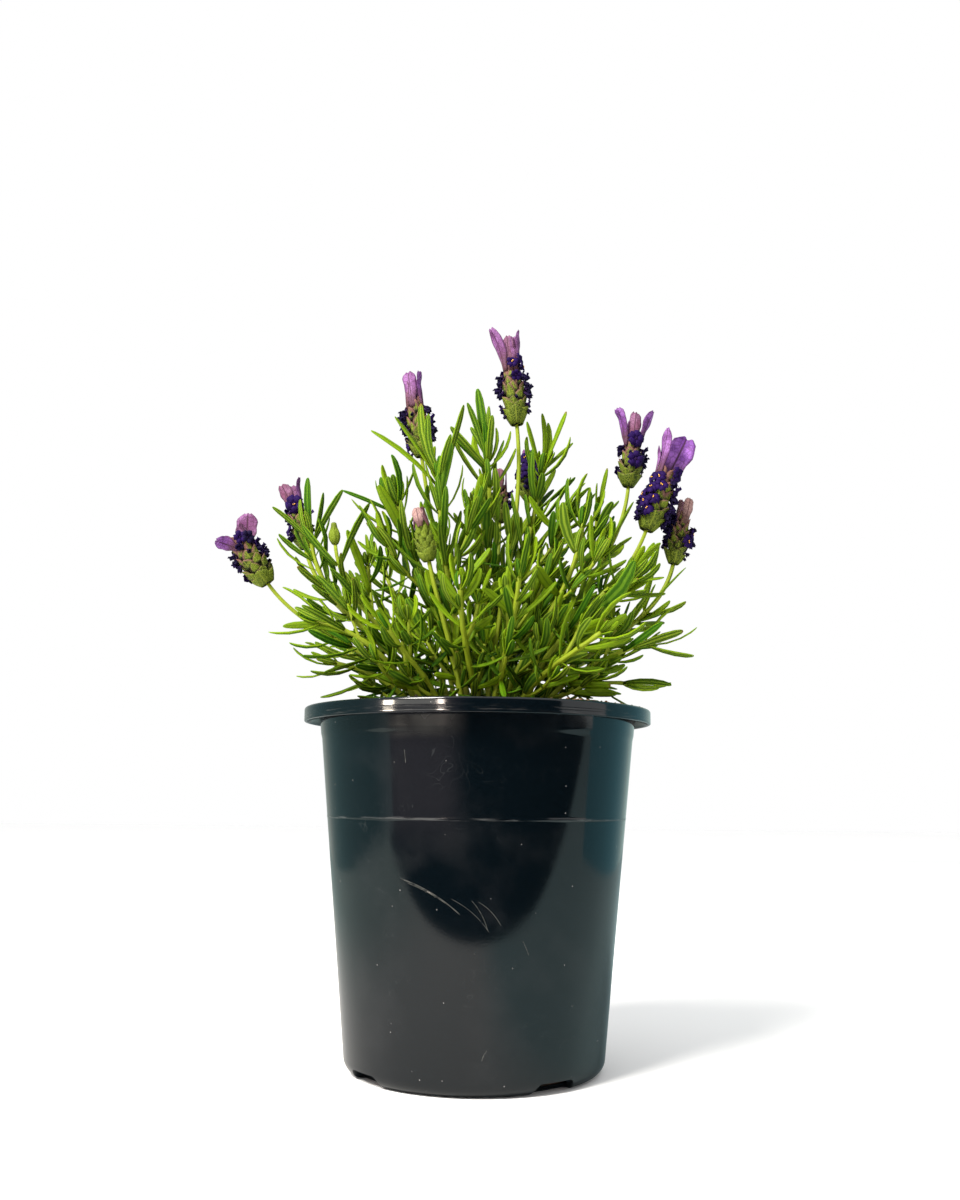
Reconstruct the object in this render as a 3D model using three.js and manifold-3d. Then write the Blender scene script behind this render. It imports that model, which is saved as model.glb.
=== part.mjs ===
// A Spanish lavender in a round plastic nursery pot.
// Lengths are in millimetres and angles in degrees. +Z is up, and the origin is the centre of the
// pot's flat floor, on the surface that the pot stands on. -Y is the side that the photograph shows.
//
// The plant is a clump of square green stems that stand in holes in the potting mix. Each stem is one
// solid with its side shoots and its narrow leaves, which grow in crossed pairs. A flower head is a
// knobbly green spike with small dark florets, and above it a tuft of mauve bracts.
import * as THREE from "three";
import { mergeVertices } from "three/addons/utils/BufferGeometryUtils.js";
import Module from "manifold-3d";

const wasm = await Module();
wasm.setup();

// ---------------------------------------------------------------- driving dimensions
const POT = {
  height: 198,
  rimRadius: 100, // outer face of the turned-down lip
  lipDrop: 8,
  lipThickness: 1.6,
  wall: 1.4,
  floor: 2,
  footRadius: 65, // the flat that stands on the surface
  cornerHeight: 8, // height of the rounded corner between floor and wall
  wallRadiusLow: 72.6, // outer radius of the wall just above the corner
  wallRadiusHigh: 91.2, // outer radius of the wall under the lip
  stackRingHeight: 137, // fine raised line round the wall
  stackRingProud: 0.35,
  shoulderHeight: 180, // small step outwards under the lip
  shoulderProud: 0.5,
  shoulderSlope: 0.8, // height over which that step rises
  ringHalf: 1, // half the height of the raised line
  lipRounding: 1.5, // bevel on the lip's upper edge
  insideCorner: 1, // the inner floor is this much smaller than the foot
  sides: 32,
};
// Drain notches in the edge of the floor. Each is cut by a block that stands out of the wall a little.
const NOTCH = { angles: [36, 126, 216, 306], width: 27, height: 6, depth: 13, outside: 2 };
const MIX = {
  top: 188, // level of the potting mix
  edgeFall: 3, // the mix drops this much towards the wall
  unevenness: 1.6,
  clearance: 0.4, // from the pot's floor, and round each stem
  wallClearance: 0.7,
  holeDepth: 9, // how deep the stems stand
  holeFlare: 1.5, // a hole's mouth against its bottom
  overHole: 4, // the hole's cutter reaches this much over the mix
  footInset: 3, // how much smaller than the pot's foot its underside is
  overCorner: 2, // where its side starts to follow the wall
  edgeBand: 3, // width of the smooth edge at the wall
  moundRadius: 68, // the uneven ring, and the even middle inside it
  middleRadius: 46,
  sides: 20,
};
// Root and tip radii of stems and shoots, the handle of their curve as a share of the length, how much
// a stem's foot leans towards its upper end, and how high the pointed end of a leafy one is.
const STEM = {
  rootRadius: 1.9,
  tipRadius: 1.3,
  shootRadius: 1.15,
  shootTipRadius: 0.85,
  handle: 0.36,
  lean: 0.8,
  point: 1,
};
// A side shoot leaves its stem in a mixture of the stem's direction and the way out, and ends in one
// that also has some of the upright. Its length falls with its height on the stem.
const SHOOT = {
  riseAlong: 0.75,
  riseOut: 0.66,
  aimAlong: 0.55,
  aimOut: 0.35,
  aimUp: 0.45,
  firstLength: 0.3, // share of the stem's length
  lengthFall: 0.12,
  lengthSpread: 6,
  overPair: 1.35, // sockets above the pair of leaves
  leavesFrom: 0.3,
  leavesTo: 0.94,
  pairs: 3,
  leafShare: 0.72, // length of its leaves against those of the stem
};
const LEAF = {
  width: 3.8,
  thickness: 0.9,
  socket: 2.2,
  longOver: 30,
  from: 0.22, // the lowest and the highest pair of a stem, as shares of its length
  to: 0.965,
  crowding: 0.78, // power that brings the pairs closer towards the end
  slant: 58, // opening from the stem, its fall towards the end and its spread
  slantFall: 32,
  slantSpread: 10,
  shortest: 0.72, // length as a share: shortest, what a half wave adds, where the wave starts and ends
  swell: 0.4,
  swellFrom: 0.25,
  swellOver: 0.6,
  lengthLeast: 0.88, // and a draw
  lengthSpread: 0.24,
  bend: -38, // the lowest leaves bend outwards the most
  bendRise: 30,
  bendSpread: 30,
  leastBend: 0.02, // radians, which keeps the arc from a division by nothing
  widthLeast: 0.85,
  widthSpread: 0.35,
  swing: 16,
  turnLoss: 0.2, // length lost for each radian that a leaf is turned to find room
};
const SPACE = { leaf: 0.4, head: 3, ownRoot: 5.5, overGround: 2.5, rimReach: 22 }; // kept clear
// The spike swells as a part of a wave: where the wave starts, how much of it there is, and the power
// that brings its widest place down.
const SPIKE = {
  scales: 5,
  rows: 8,
  girthShare: 0.88,
  waveFrom: 0.1,
  waveOver: 0.8,
  wavePower: 0.8,
  proud: 1.5,
  valley: -0.7,
  lift: 1.6,
};
const FLORET = {
  reach: 4.4,
  neck: 0.9,
  neckShare: 0.6, // of the reach
  face: 2.3,
  dimple: 0.8,
  lean: 0.25,
  lowest: 0.12, // share of the spike's length, and the length that the florets are spread over
  over: 0.76,
  turnSpread: 0.5, // radians
  lift: 0.5,
};
const HUB = { radius: 2.7, height: 2.4, taper: 0.6, bractShare: 0.75 }; // foot of the bracts
const BRACT_BEND = 8; // outward bend of an upright bract
const SHORT_BRACT = 0.9; // length of every other bract
const SEAM = 0.3; // gap between solids that touch
const SEED = { stem: 13, nextStem: 977, spike: 7, nextSpike: 389, mix: 4242 }; // of the random draws

// The stems: name, where it leaves the mix (x and y), its upper end, its direction there, the share of
// it that carries leaves, pairs of leaves, leaf length, side shoots, and its roll about its axis.
// Those with a leafy share under 1 end in a bare stalk with a flower head.
const STEMS = [
  ["top", [5, -3], [22, -5, 371], [-0.1, 0, 1], 0.6, 4, 31, 1, 20],
  ["upper_left", [-7, 4], [-36, 10, 355], [-0.14, 0, 1], 0.62, 4, 31, 1, 60],
  ["far_left", [-23, -7], [-122, -20, 269], [-0.62, -0.1, 0.85], 0.62, 5, 30, 2, 0],
  ["left_back", [-18, 8], [-108, 27, 300], [-0.25, 0.05, 1], 0.75, 5, 28, 1, 30],
  ["front_young", [-7, -26], [-28, -45, 278], [-0.22, -0.05, 1], 0.42, 2, 27, 2, 70],
  ["left_bud", [-17, -1], [-85, -10, 295], [-0.1, 0, 1], 0.84, 5, 30, 2, 10],
  ["middle_back", [5, 9], [31, 40, 336], [0, 0.05, 1], 0.75, 4, 29, 1, 50],
  ["hidden_back", [-1, 14], [13, 52, 324], [0, 0.1, 1], 0.7, 4, 28, 1, 0],
  ["right_high", [16, 7], [91, 10, 337], [0.1, 0, 1], 0.72, 4, 29, 1, 25],
  ["right_big", [19, -5], [98, -15, 304], [0.37, 0, 1], 0.66, 4, 32, 2, 75],
  ["right_low", [27, 2], [116, 0, 287], [0.22, 0, 1], 0.74, 5, 27, 1, 40],
  ["crown_left", [-5, -12], [-23, -25, 334], [0.05, 0, 1], 1, 6, 35, 2, 15],
  ["shoulder_left", [-11, -4], [-50, -4, 325], [-0.25, 0, 1], 1, 6, 35, 2, 0],
  ["outer_left", [-24, 3], [-100, -5, 301], [-0.05, 0, 1], 1, 6, 32, 1, 30],
  ["crown_middle", [0, 4], [4, -8, 352], [-0.1, 0, 1], 1, 7, 34, 2, 5],
  ["crown_right", [9, 3], [38, 0, 346], [0.15, 0, 1], 1, 7, 34, 2, 20],
  ["bright", [12, -13], [60, -22, 308], [0.05, 0, 1], 1, 6, 30, 2, 45],
  ["shoulder_right", [14, 14], [73, 22, 323], [0.02, 0, 1], 1, 6, 30, 1, 0],
  ["broad_leaves", [20, -14], [74, -32, 266], [0.7, -0.1, 0.7], 1, 5, 38, 1, 80],
  ["sprawl_right", [31, -6], [100, -14, 238], [0.95, 0, 0.3], 1, 5, 32, 2, 20],
  ["rim_right", [30, 9], [90, 20, 217], [1, 0.1, -0.1], 1, 4, 30, 1, 45],
  ["sprawl_left", [-29, -13], [-92, -30, 246], [-0.95, 0, 0.2], 1, 5, 32, 1, 0],
  ["rim_left", [-31, -3], [-84, -12, 224], [-1, -0.1, 0.1], 1, 5, 28, 1, 40],
  ["front_left", [-17, -20], [-50, -52, 240], [-0.5, -0.4, 0.8], 1, 5, 26, 2, 60],
  ["front_middle", [0, -20], [-10, -62, 262], [0, -0.15, 1], 1, 6, 24, 2, 30],
  ["front_right", [8, -27], [22, -56, 268], [0.05, -0.1, 1], 1, 6, 27, 2, 0],
  ["low_front_right", [18, -24], [66, -62, 236], [0.7, -0.4, 0.5], 1, 5, 30, 2, 20],
  ["back_left", [-13, 15], [-62, 56, 296], [-0.3, 0.3, 1], 1, 5, 31, 1, 10],
  ["back_middle", [-4, 24], [-22, 82, 290], [-0.1, 0.4, 1], 1, 5, 31, 1, 50],
  ["back_right", [9, 22], [44, 72, 300], [0.2, 0.4, 1], 1, 5, 31, 1, 80],
  ["low_back_left", [-24, 19], [-86, 66, 242], [-0.7, 0.5, 0.5], 1, 5, 30, 1, 0],
  ["low_back_right", [24, 22], [84, 68, 244], [0.7, 0.5, 0.5], 1, 5, 30, 1, 30],
  ["low_back", [3, 33], [10, 98, 236], [0.1, 0.9, 0.5], 1, 5, 30, 1, 70],
].map(([name, root, tip, aim, leafy, pairs, leaf, shoots, roll]) => ({
  name: "stem_" + name,
  root,
  tip,
  aim,
  leafy,
  pairs,
  leaf,
  shoots,
  roll,
}));

// The flower heads, named as their stems: length and radius of the spike, number of florets in
// flower, number, length and width of the bracts on top, how far the bracts open, and the roll.
const HEADS = [
  ["top", 38, 7.6, 9, 4, 18, 8.5, 13, 10],
  ["upper_left", 36, 7.6, 9, 3, 17, 9, 5, 80],
  ["far_left", 31, 8.4, 10, 3, 16, 11, 34, 0],
  ["left_back", 31, 6.4, 7, 3, 15, 8, 18, 150],
  ["front_young", 25, 6, 0, 3, 8, 6, 4, 40],
  ["middle_back", 28, 6.6, 10, 3, 9, 6, 8, 0],
  ["hidden_back", 25, 5.8, 6, 3, 13, 7, 6, 60],
  ["right_high", 30, 7, 8, 4, 18, 8, 20, 0],
  ["right_big", 36, 8.2, 12, 3, 25, 13, 16, 0],
  ["right_low", 30, 6.4, 7, 3, 11, 6, 8, 30],
].map(([name, length, girth, florets, blades, tuft, width, spread, roll]) => ({
  name,
  length,
  girth,
  florets,
  blades,
  tuft,
  width,
  spread,
  roll,
}));
const BUD = { name: "left_bud", length: 12.5, girth: 3.4, florets: 0, tuft: 0, roll: 0 };
const COLOURS = {
  pot: 0x141719,
  mix: 0x3a2a20,
  leaf: 0x5f8a1e,
  spike: 0x7c8f3a,
  bract: 0xb07cc0,
};

// ---------------------------------------------------------------- small geometry tools
const UP = new THREE.Vector3(0, 0, 1);
const vec = (list) => new THREE.Vector3(...list);
const rad = THREE.MathUtils.degToRad;

// A repeatable random source: each call gives the next number from 0 to 1.
function draws(seed) {
  let state = seed >>> 0;
  return () => {
    state = (Math.imul(1664525, state) + 1013904223) >>> 0;
    return state / 4294967296;
  };
}

// point + the sum of each vector times its factor
function shifted(point, ...terms) {
  const p = point.clone();
  for (const [vector, factor] of terms) p.addScaledVector(vector, factor);
  return p;
}

// The sum of any number of vectors, each times its factor
const mixed = (...terms) => shifted(new THREE.Vector3(), ...terms);

// A skin is a closed surface that grows: its points, and its triangles, which run anticlockwise seen
// from outside. A ring is a list of point numbers, anticlockwise seen from where the skin grows to.
const newSkin = () => ({ points: [], triangles: [] });

function addRing(skin, points) {
  const start = skin.points.length;
  skin.points.push(...points);
  return points.map((_, k) => start + k);
}

// Joins two rings of as many points, and leaves the faces in open for what grows there.
function addBand(skin, low, high, open = []) {
  low.forEach((p, k) => {
    const next = (k + 1) % low.length;
    if (!open.includes(k)) skin.triangles.push([p, low[next], high[next]], [p, high[next], high[k]]);
  });
}

function addPeak(skin, ring, point) {
  const [peak] = addRing(skin, [point]);
  ring.forEach((p, k) => skin.triangles.push([p, ring[(k + 1) % ring.length], peak]));
}

const addLid = (skin, ring) => {
  for (let k = 1; k + 1 < ring.length; k++) skin.triangles.push([ring[0], ring[k], ring[k + 1]]);
};

// The four corners of face k between two rings, anticlockwise seen from outside.
const socketOf = (low, high, k) => {
  const next = (k + 1) % low.length;
  return [low[k], low[next], high[next], high[k]];
};

function solidOf(skin) {
  return new wasm.Manifold(
    new wasm.Mesh({
      numProp: 3,
      vertProperties: new Float32Array(skin.points.flatMap((p) => [p.x, p.y, p.z])),
      triVerts: new Uint32Array(skin.triangles.flat()),
    }),
  );
}

// A solid through rings of as many points, closed flat at both ends.
function loft(rings) {
  const skin = newSkin();
  const numbered = rings.map((ring) => addRing(skin, ring));
  addLid(skin, numbered[0].toReversed());
  for (let i = 0; i + 1 < numbered.length; i++) addBand(skin, numbered[i], numbered[i + 1]);
  addLid(skin, numbered.at(-1));
  return solidOf(skin);
}

function solidOfGeometry(geometry) {
  geometry.deleteAttribute("normal");
  geometry.deleteAttribute("uv");
  const merged = mergeVertices(geometry, 1e-3);
  return new wasm.Manifold(
    new wasm.Mesh({
      numProp: 3,
      vertProperties: merged.attributes.position.array,
      triVerts: new Uint32Array(merged.index.array),
    }),
  );
}

function meshOf(name, solid, colour, roughness) {
  const { numProp, numVert, vertProperties, triVerts } = solid.getMesh();
  const position = new Float32Array(numVert * 3);
  for (let i = 0; i < numVert; i++) {
    position.set(vertProperties.subarray(i * numProp, i * numProp + 3), i * 3);
  }
  const geometry = new THREE.BufferGeometry()
    .setAttribute("position", new THREE.BufferAttribute(position, 3))
    .setIndex(new THREE.BufferAttribute(triVerts, 1));
  const material = new THREE.MeshStandardMaterial({ color: colour, roughness, metalness: 0 });
  const mesh = new THREE.Mesh(geometry, material);
  mesh.name = name;
  return mesh;
}

// ---------------------------------------------------------------- stems and shoots
// The axis of a stem or shoot: a cubic curve, a radius at each end, and a vector across it that sets
// how its square section is turned. Faces 0 to 3 look down, right, up and left of that vector.
function axisOf(node, from, rise, aim, to, radii, across) {
  const length = from.distanceTo(to);
  const curve = new THREE.CubicBezierCurve3(
    from,
    shifted(from, [rise, STEM.handle * length]),
    shifted(to, [aim, -STEM.handle * length]),
    to,
  );
  return { node, curve, radii, length, across };
}

// Centre, direction, sideways vector, upward vector and radius of the section at a share of the axis.
function sectionFrame(axis, share) {
  const along = axis.curve.getTangent(share);
  const side = shifted(axis.across, [along, -axis.across.dot(along)]).normalize();
  const up = along.clone().cross(side);
  const radius = THREE.MathUtils.lerp(...axis.radii, share);
  return { centre: axis.curve.getPoint(share), along, side, up, radius };
}

const faceVector = ({ side, up }, face) => [up.clone().negate(), side, up, side.clone().negate()][face];

// The square ring of the section, with its corners on the radius.
function squareRing({ centre, side, up, radius }) {
  const half = radius * Math.SQRT1_2;
  return [
    [-half, -half],
    [half, -half],
    [half, half],
    [-half, half],
  ].map(([x, y]) => shifted(centre, [side, x], [up, y]));
}

function stemAxis(stem) {
  const from = new THREE.Vector3(...stem.root, MIX.top);
  const to = vec(stem.tip);
  const aim = vec(stem.aim).normalize();
  const towards = to.clone().sub(from).normalize();
  const level = new THREE.Vector3(-towards.y, towards.x, 0).normalize();
  const ahead = level.clone().cross(UP);
  const across = mixed([level, Math.cos(rad(stem.roll))], [ahead, Math.sin(rad(stem.roll))]);
  const rise = mixed([UP, 1], [towards, STEM.lean]).normalize();
  return axisOf(stem.name, from, rise, aim, to, [STEM.rootRadius, STEM.tipRadius], across);
}

// A side shoot leaves a face of its stem at a slant and turns upwards.
function shootAxis(parent, share, face, turn, length) {
  const frame = sectionFrame(parent, share);
  const out = faceVector(frame, face).clone().applyAxisAngle(frame.along, turn);
  const from = shifted(frame.centre, [faceVector(frame, face), frame.radius * Math.SQRT1_2]);
  const rise = mixed([frame.along, SHOOT.riseAlong], [out, SHOOT.riseOut]).normalize();
  const aim = mixed([frame.along, SHOOT.aimAlong], [out, SHOOT.aimOut], [UP, SHOOT.aimUp]).normalize();
  const to = shifted(from, [rise, 0.5 * length], [aim, 0.5 * length]);
  const across = frame.along.clone().cross(out);
  return axisOf(parent.node, from, rise, aim, to, [STEM.shootRadius, STEM.shootTipRadius], across);
}

// ---------------------------------------------------------------- leaves
// A leaf starts at point, runs along direction and bends towards face, the side of its upper surface,
// on an arc of bend radians.
const leafPoint = (leaf, t) =>
  shifted(
    leaf.point,
    [leaf.direction, (leaf.length * Math.sin(leaf.bend * t)) / leaf.bend],
    [leaf.face, (leaf.length * (1 - Math.cos(leaf.bend * t))) / leaf.bend],
  );

const leafFace = (leaf, t) =>
  mixed([leaf.direction, -Math.sin(leaf.bend * t)], [leaf.face, Math.cos(leaf.bend * t)]);

// A leaf on a face of an axis: slant opens it from the axis, turn swings it round the axis.
function leafAt(axis, share, face, turn, slant, length, bend, width) {
  const frame = sectionFrame(axis, share);
  const out = faceVector(frame, face).clone().applyAxisAngle(frame.along, turn);
  return {
    node: axis.node,
    point: shifted(frame.centre, [faceVector(frame, face), frame.radius * Math.SQRT1_2]),
    direction: mixed([frame.along, Math.cos(slant)], [out, Math.sin(slant)]),
    face: mixed([frame.along, Math.sin(slant)], [out, -Math.cos(slant)]),
    length,
    bend,
    width,
  };
}

// Sections of a blade between its socket and its tip: share of the length, share of the width.
const LONG_LEAF = [[0.4, 0.95], [0.8, 0.9]];
const SHORT_LEAF = [[0.58, 1]];
const leafOutline = ({ length }) => (length > LEAF.longOver ? LONG_LEAF : SHORT_LEAF);

// A three-sided blade, two edges and the rib under it, that grows from a socket.
function addBlade(skin, [a, b, c, d], leaf, outline) {
  const side = leaf.face.clone().cross(leaf.direction);
  const rings = outline.map(([t, share]) => {
    const centre = leafPoint(leaf, t);
    const half = 0.5 * leaf.width * share;
    return addRing(skin, [
      shifted(centre, [side, half]),
      shifted(centre, [side, -half]),
      shifted(centre, [leafFace(leaf, t), -LEAF.thickness]),
    ]);
  });
  const [right, left, rib] = rings[0];
  skin.triangles.push([c, d, left], [c, left, right], [b, c, right], [d, a, left]);
  skin.triangles.push([a, b, rib], [a, rib, left], [b, right, rib]);
  for (let i = 0; i + 1 < rings.length; i++) addBand(skin, rings[i], rings[i + 1]);
  addPeak(skin, rings.at(-1), leafPoint(leaf, 1));
}

// ---------------------------------------------------------------- keeping pieces apart
// Balls along every stem, leaf and head. A new piece is placed where its balls miss all others. Near
// its root it may come close to its own stem.
const balls = [];
const BALL_STEP = 2.5; // along a stem
const LEAF_BALLS = 12;
const HEAD_BALLS = 10;
const HEAD_FOOT = 2; // the lowest ball of a head over its base
// Half the width of a leaf as a share: at its foot, at its tip, and how fast it widens from there.
const LEAF_TAPER = { foot: 0.6, tip: 0.4, widening: 3 };

function ballsAlong(node, pointAt, radiusAt, count) {
  const shares = Array.from({ length: count + 1 }, (_, i) => i / count);
  return shares.map((t) => ({ node, centre: pointAt(t), radius: radiusAt(t) }));
}

const ballsOfAxis = (axis) =>
  ballsAlong(
    axis.node,
    (t) => axis.curve.getPoint(t),
    (t) => THREE.MathUtils.lerp(...axis.radii, t) + SPACE.leaf,
    Math.ceil(axis.length / BALL_STEP),
  );

const ballsOfLeaf = (leaf) =>
  ballsAlong(
    leaf.node,
    (t) => leafPoint(leaf, t),
    (t) => {
      const { foot, tip, widening } = LEAF_TAPER;
      return 0.5 * leaf.width * Math.min(1, foot + t, tip + widening * (1 - t)) + SPACE.leaf;
    },
    LEAF_BALLS,
  );

function isClear(list) {
  const root = list[0].centre;
  return list.every((ball) => {
    const nearRoot = ball.centre.distanceTo(root) < SPACE.ownRoot;
    const overRim = Math.hypot(ball.centre.x, ball.centre.y) > POT.rimRadius - SPACE.rimReach;
    const ground = (overRim ? POT.height : MIX.top) + SPACE.overGround;
    if (!nearRoot && ball.centre.z < ground) return false;
    return balls.every((other) => {
      if (nearRoot && other.node === ball.node) return true;
      return other.centre.distanceTo(ball.centre) > other.radius + ball.radius;
    });
  });
}

// ---------------------------------------------------------------- growing the plant
const TRIES = [0, 20, -20, 38, -38].map(rad);
const GOLDEN = rad(137.5);
const axes = new Map(STEMS.map((stem) => [stem.name, stemAxis(stem)]));

// Where a head stands: on the end of its stem, in line with it.
function headFrame({ name }) {
  const frame = sectionFrame(axes.get("stem_" + name), 1);
  return { ...frame, base: shifted(frame.centre, [frame.along, SEAM]) };
}

for (const axis of axes.values()) balls.push(...ballsOfAxis(axis));
for (const head of [...HEADS, BUD]) {
  const { base, along } = headFrame(head);
  const centreAt = (t) => shifted(base, [along, HEAD_FOOT + (head.length + head.tuft) * t]);
  balls.push(...ballsAlong(head.name, centreAt, () => head.girth + SPACE.head, HEAD_BALLS));
}

// The first place of these turns where the piece is clear of the rest, or nothing.
function placed(turns, make, ballsOf) {
  for (const turn of turns) {
    const piece = make(turn);
    const list = ballsOf(piece);
    if (!isClear(list)) continue;
    balls.push(...list);
    return piece;
  }
  return null;
}

// Crossed pairs along an axis from one share to another, closer and steeper towards the end. Returns
// a station for each pair, with the leaves that found room.
function planLeaves(axis, from, to, pairs, length, random) {
  const stations = [];
  for (let pair = 0; pair < pairs; pair++) {
    const up = pair / Math.max(1, pairs - 1);
    const share = from + (to - from) * Math.pow(up, LEAF.crowding);
    const slant = rad(LEAF.slant - LEAF.slantFall * up * to + LEAF.slantSpread * (random() - 0.5));
    const wave = Math.sin(Math.PI * (LEAF.swellFrom + LEAF.swellOver * up));
    const drawn = LEAF.lengthLeast + LEAF.lengthSpread * random();
    const size = length * (LEAF.shortest + LEAF.swell * wave) * drawn;
    const bend = rad(LEAF.bend + LEAF.bendRise * up + LEAF.bendSpread * random()) + LEAF.leastBend;
    const width = LEAF.width * (LEAF.widthLeast + LEAF.widthSpread * random());
    const sprouts = [pair % 2, (pair % 2) + 2].map((face) => {
      const swing = rad(LEAF.swing * (random() - 0.5));
      const make = (turn) => {
        const shortened = size * (1 - LEAF.turnLoss * Math.abs(turn));
        return leafAt(axis, share, face, swing + turn, slant, shortened, bend, width);
      };
      return { face, leaf: placed(TRIES, make, ballsOfLeaf) };
    });
    stations.push({ share, sprouts: sprouts.filter((sprout) => sprout.leaf) });
  }
  return stations;
}

// Side shoots in the leaf axils, just over a pair, each on the face that its leaf grows from.
function planShoots(stem, axis, stations, random) {
  const hosts = stations.slice(0, -1).filter((_, i) => i % 2 === 0);
  return hosts.slice(0, stem.shoots).flatMap(({ share }, i) => {
    const pair = 2 * i;
    const above = share + (SHOOT.overPair * LEAF.socket) / axis.length;
    const drawn = SHOOT.lengthSpread * random();
    const length = axis.length * (SHOOT.firstLength - SHOOT.lengthFall * share) + drawn;
    const faces = [pair % 2, (pair % 2) + 2];
    if (i % 2) faces.reverse();
    for (const face of faces) {
      const make = (turn) => shootAxis(axis, above, face, turn, length);
      const shoot = placed(TRIES, make, ballsOfAxis);
      if (!shoot) continue;
      const leaf = SHOOT.leafShare * stem.leaf;
      const nodes = planLeaves(shoot, SHOOT.leavesFrom, SHOOT.leavesTo, SHOOT.pairs, leaf, random);
      return [{ share: above, sprouts: [{ face, shoot, stations: nodes }] }];
    }
    return [];
  });
}

// Grows an axis from a ring or socket, with what its stations hold, and closes its end.
function addAxis(skin, start, axis, stations, isPointed) {
  const half = (0.5 * LEAF.socket) / axis.length;
  let last = start;
  for (const { share, sprouts } of stations) {
    const low = addRing(skin, squareRing(sectionFrame(axis, sprouts.length ? share - half : share)));
    addBand(skin, last, low);
    last = low;
    if (!sprouts.length) continue;
    const high = addRing(skin, squareRing(sectionFrame(axis, share + half)));
    addBand(skin, low, high, sprouts.map(({ face }) => face));
    for (const sprout of sprouts) {
      const socket = socketOf(low, high, sprout.face);
      if (sprout.leaf) addBlade(skin, socket, sprout.leaf, leafOutline(sprout.leaf));
      else addAxis(skin, socket, sprout.shoot, sprout.stations, true);
    }
    last = high;
  }
  const end = sectionFrame(axis, 1);
  if (isPointed) return addPeak(skin, last, shifted(end.centre, [end.along, STEM.point]));
  const ring = addRing(skin, squareRing(end));
  addBand(skin, last, ring);
  return addLid(skin, ring);
}

const plain = (...shares) => shares.map((share) => ({ share, sprouts: [] }));
const BARE_SECTIONS = [0.25, 0.5, 0.75]; // of the bare stalk under a flower head

function growStem(stem, index) {
  const random = draws(index * SEED.nextStem + SEED.stem);
  const axis = axes.get(stem.name);
  const isLeafy = stem.leafy === 1;
  const last = isLeafy ? LEAF.to : stem.leafy;
  const pairs = planLeaves(axis, LEAF.from, last, stem.pairs, stem.leaf, random);
  const shoots = planShoots(stem, axis, pairs, random);
  const bare = isLeafy ? [] : plain(...BARE_SECTIONS.map((t) => stem.leafy + (1 - stem.leafy) * t));
  const stations = [...plain(0), ...pairs, ...shoots, ...bare].sort((a, b) => a.share - b.share);
  const skin = newSkin();
  const foot = footFrame(stem, axis);
  const ring = addRing(skin, squareRing(foot));
  addLid(skin, ring.toReversed());
  addAxis(skin, ring, axis, stations, isLeafy);
  return { solid: solidOf(skin), foot };
}

// The upright section at the foot of a stem, at the bottom of its hole in the mix.
function footFrame(stem, axis) {
  const { side, radius } = sectionFrame(axis, 0);
  const level = new THREE.Vector3(side.x, side.y, 0).normalize();
  const centre = new THREE.Vector3(...stem.root, MIX.top - MIX.holeDepth);
  return { centre, along: UP, side: level, up: UP.clone().cross(level), radius };
}

// ---------------------------------------------------------------- flower heads
// Radius of the spike between its scales, at a share of its length.
const spikeRadius = (head, t) => {
  const wave = Math.sin(Math.PI * (SPIKE.waveFrom + SPIKE.waveOver * Math.pow(t, SPIKE.wavePower)));
  return SPIKE.girthShare * head.girth * (0.5 + 0.5 * wave);
};

// A spike covered in rows of pointed scales, each row turned half a scale from the one below, with
// florets that stand out between them.
function spikeSolid(head, index) {
  const frame = headFrame(head);
  const random = draws(index * SEED.nextSpike + SEED.spike);
  const count = 2 * SPIKE.scales;
  const skin = newSkin();
  const bearing = (angle) => mixed([frame.side, Math.cos(angle)], [frame.up, Math.sin(angle)]);
  const rings = [];
  for (let row = 0; row <= SPIKE.rows; row++) {
    const t = row / SPIKE.rows;
    const points = Array.from({ length: count }, (_, k) => {
      const isTip = (k + row) % 2 === 0 && row > 0 && row < SPIKE.rows;
      const radius = spikeRadius(head, t) + (isTip ? SPIKE.proud : SPIKE.valley);
      const height = head.length * t + (isTip ? SPIKE.lift : 0);
      return shifted(frame.base, [frame.along, height], [bearing((2 * Math.PI * k) / count), radius]);
    });
    rings.push(addRing(skin, points));
  }
  const blooms = Array.from({ length: head.florets }, (_, i) => {
    const t = FLORET.lowest + (FLORET.over * (i + 0.5)) / head.florets;
    const angle = i * GOLDEN + rad(head.roll) + FLORET.turnSpread * random();
    const turns = (((angle / (2 * Math.PI)) % 1) + 1) % 1;
    return { row: Math.floor(t * SPIKE.rows), face: Math.floor(turns * count) };
  });
  addLid(skin, rings[0].toReversed());
  for (let row = 0; row < SPIKE.rows; row++) {
    const open = blooms.filter((bloom) => bloom.row === row).map(({ face }) => face);
    addBand(skin, rings[row], rings[row + 1], open);
    for (const face of new Set(open)) {
      const out = bearing((2 * Math.PI * (face + 0.5)) / count);
      const t = (row + 0.5) / SPIKE.rows;
      const height = head.length * t + FLORET.lift;
      const foot = shifted(frame.base, [frame.along, height], [out, spikeRadius(head, t)]);
      addFloret(skin, socketOf(rings[row], rings[row + 1], face), foot, out, frame.along);
    }
  }
  addLid(skin, rings.at(-1));
  return solidOf(skin);
}

// A short tube that opens into a four-sided face with a sunk throat.
function addFloret(skin, socket, foot, out, along) {
  const direction = mixed([out, 1], [along, FLORET.lean]).normalize();
  const side = along.clone().cross(direction).normalize();
  const up = direction.clone().cross(side);
  const reach = (distance) => shifted(foot, [direction, distance]);
  const ring = (distance, radius) => addRing(skin, squareRing({ centre: reach(distance), side, up, radius }));
  const neck = ring(FLORET.reach * FLORET.neckShare, FLORET.neck);
  const face = ring(FLORET.reach, FLORET.face);
  addBand(skin, socket, neck);
  addBand(skin, neck, face);
  addPeak(skin, face, reach(FLORET.reach - FLORET.dimple));
}

// The tuft: thin bracts, widest past the middle, that open from the faces of a small hub on the end of
// the spike.
const BRACT = [[0.3, 0.75], [0.66, 1], [0.93, 0.6]];

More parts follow.
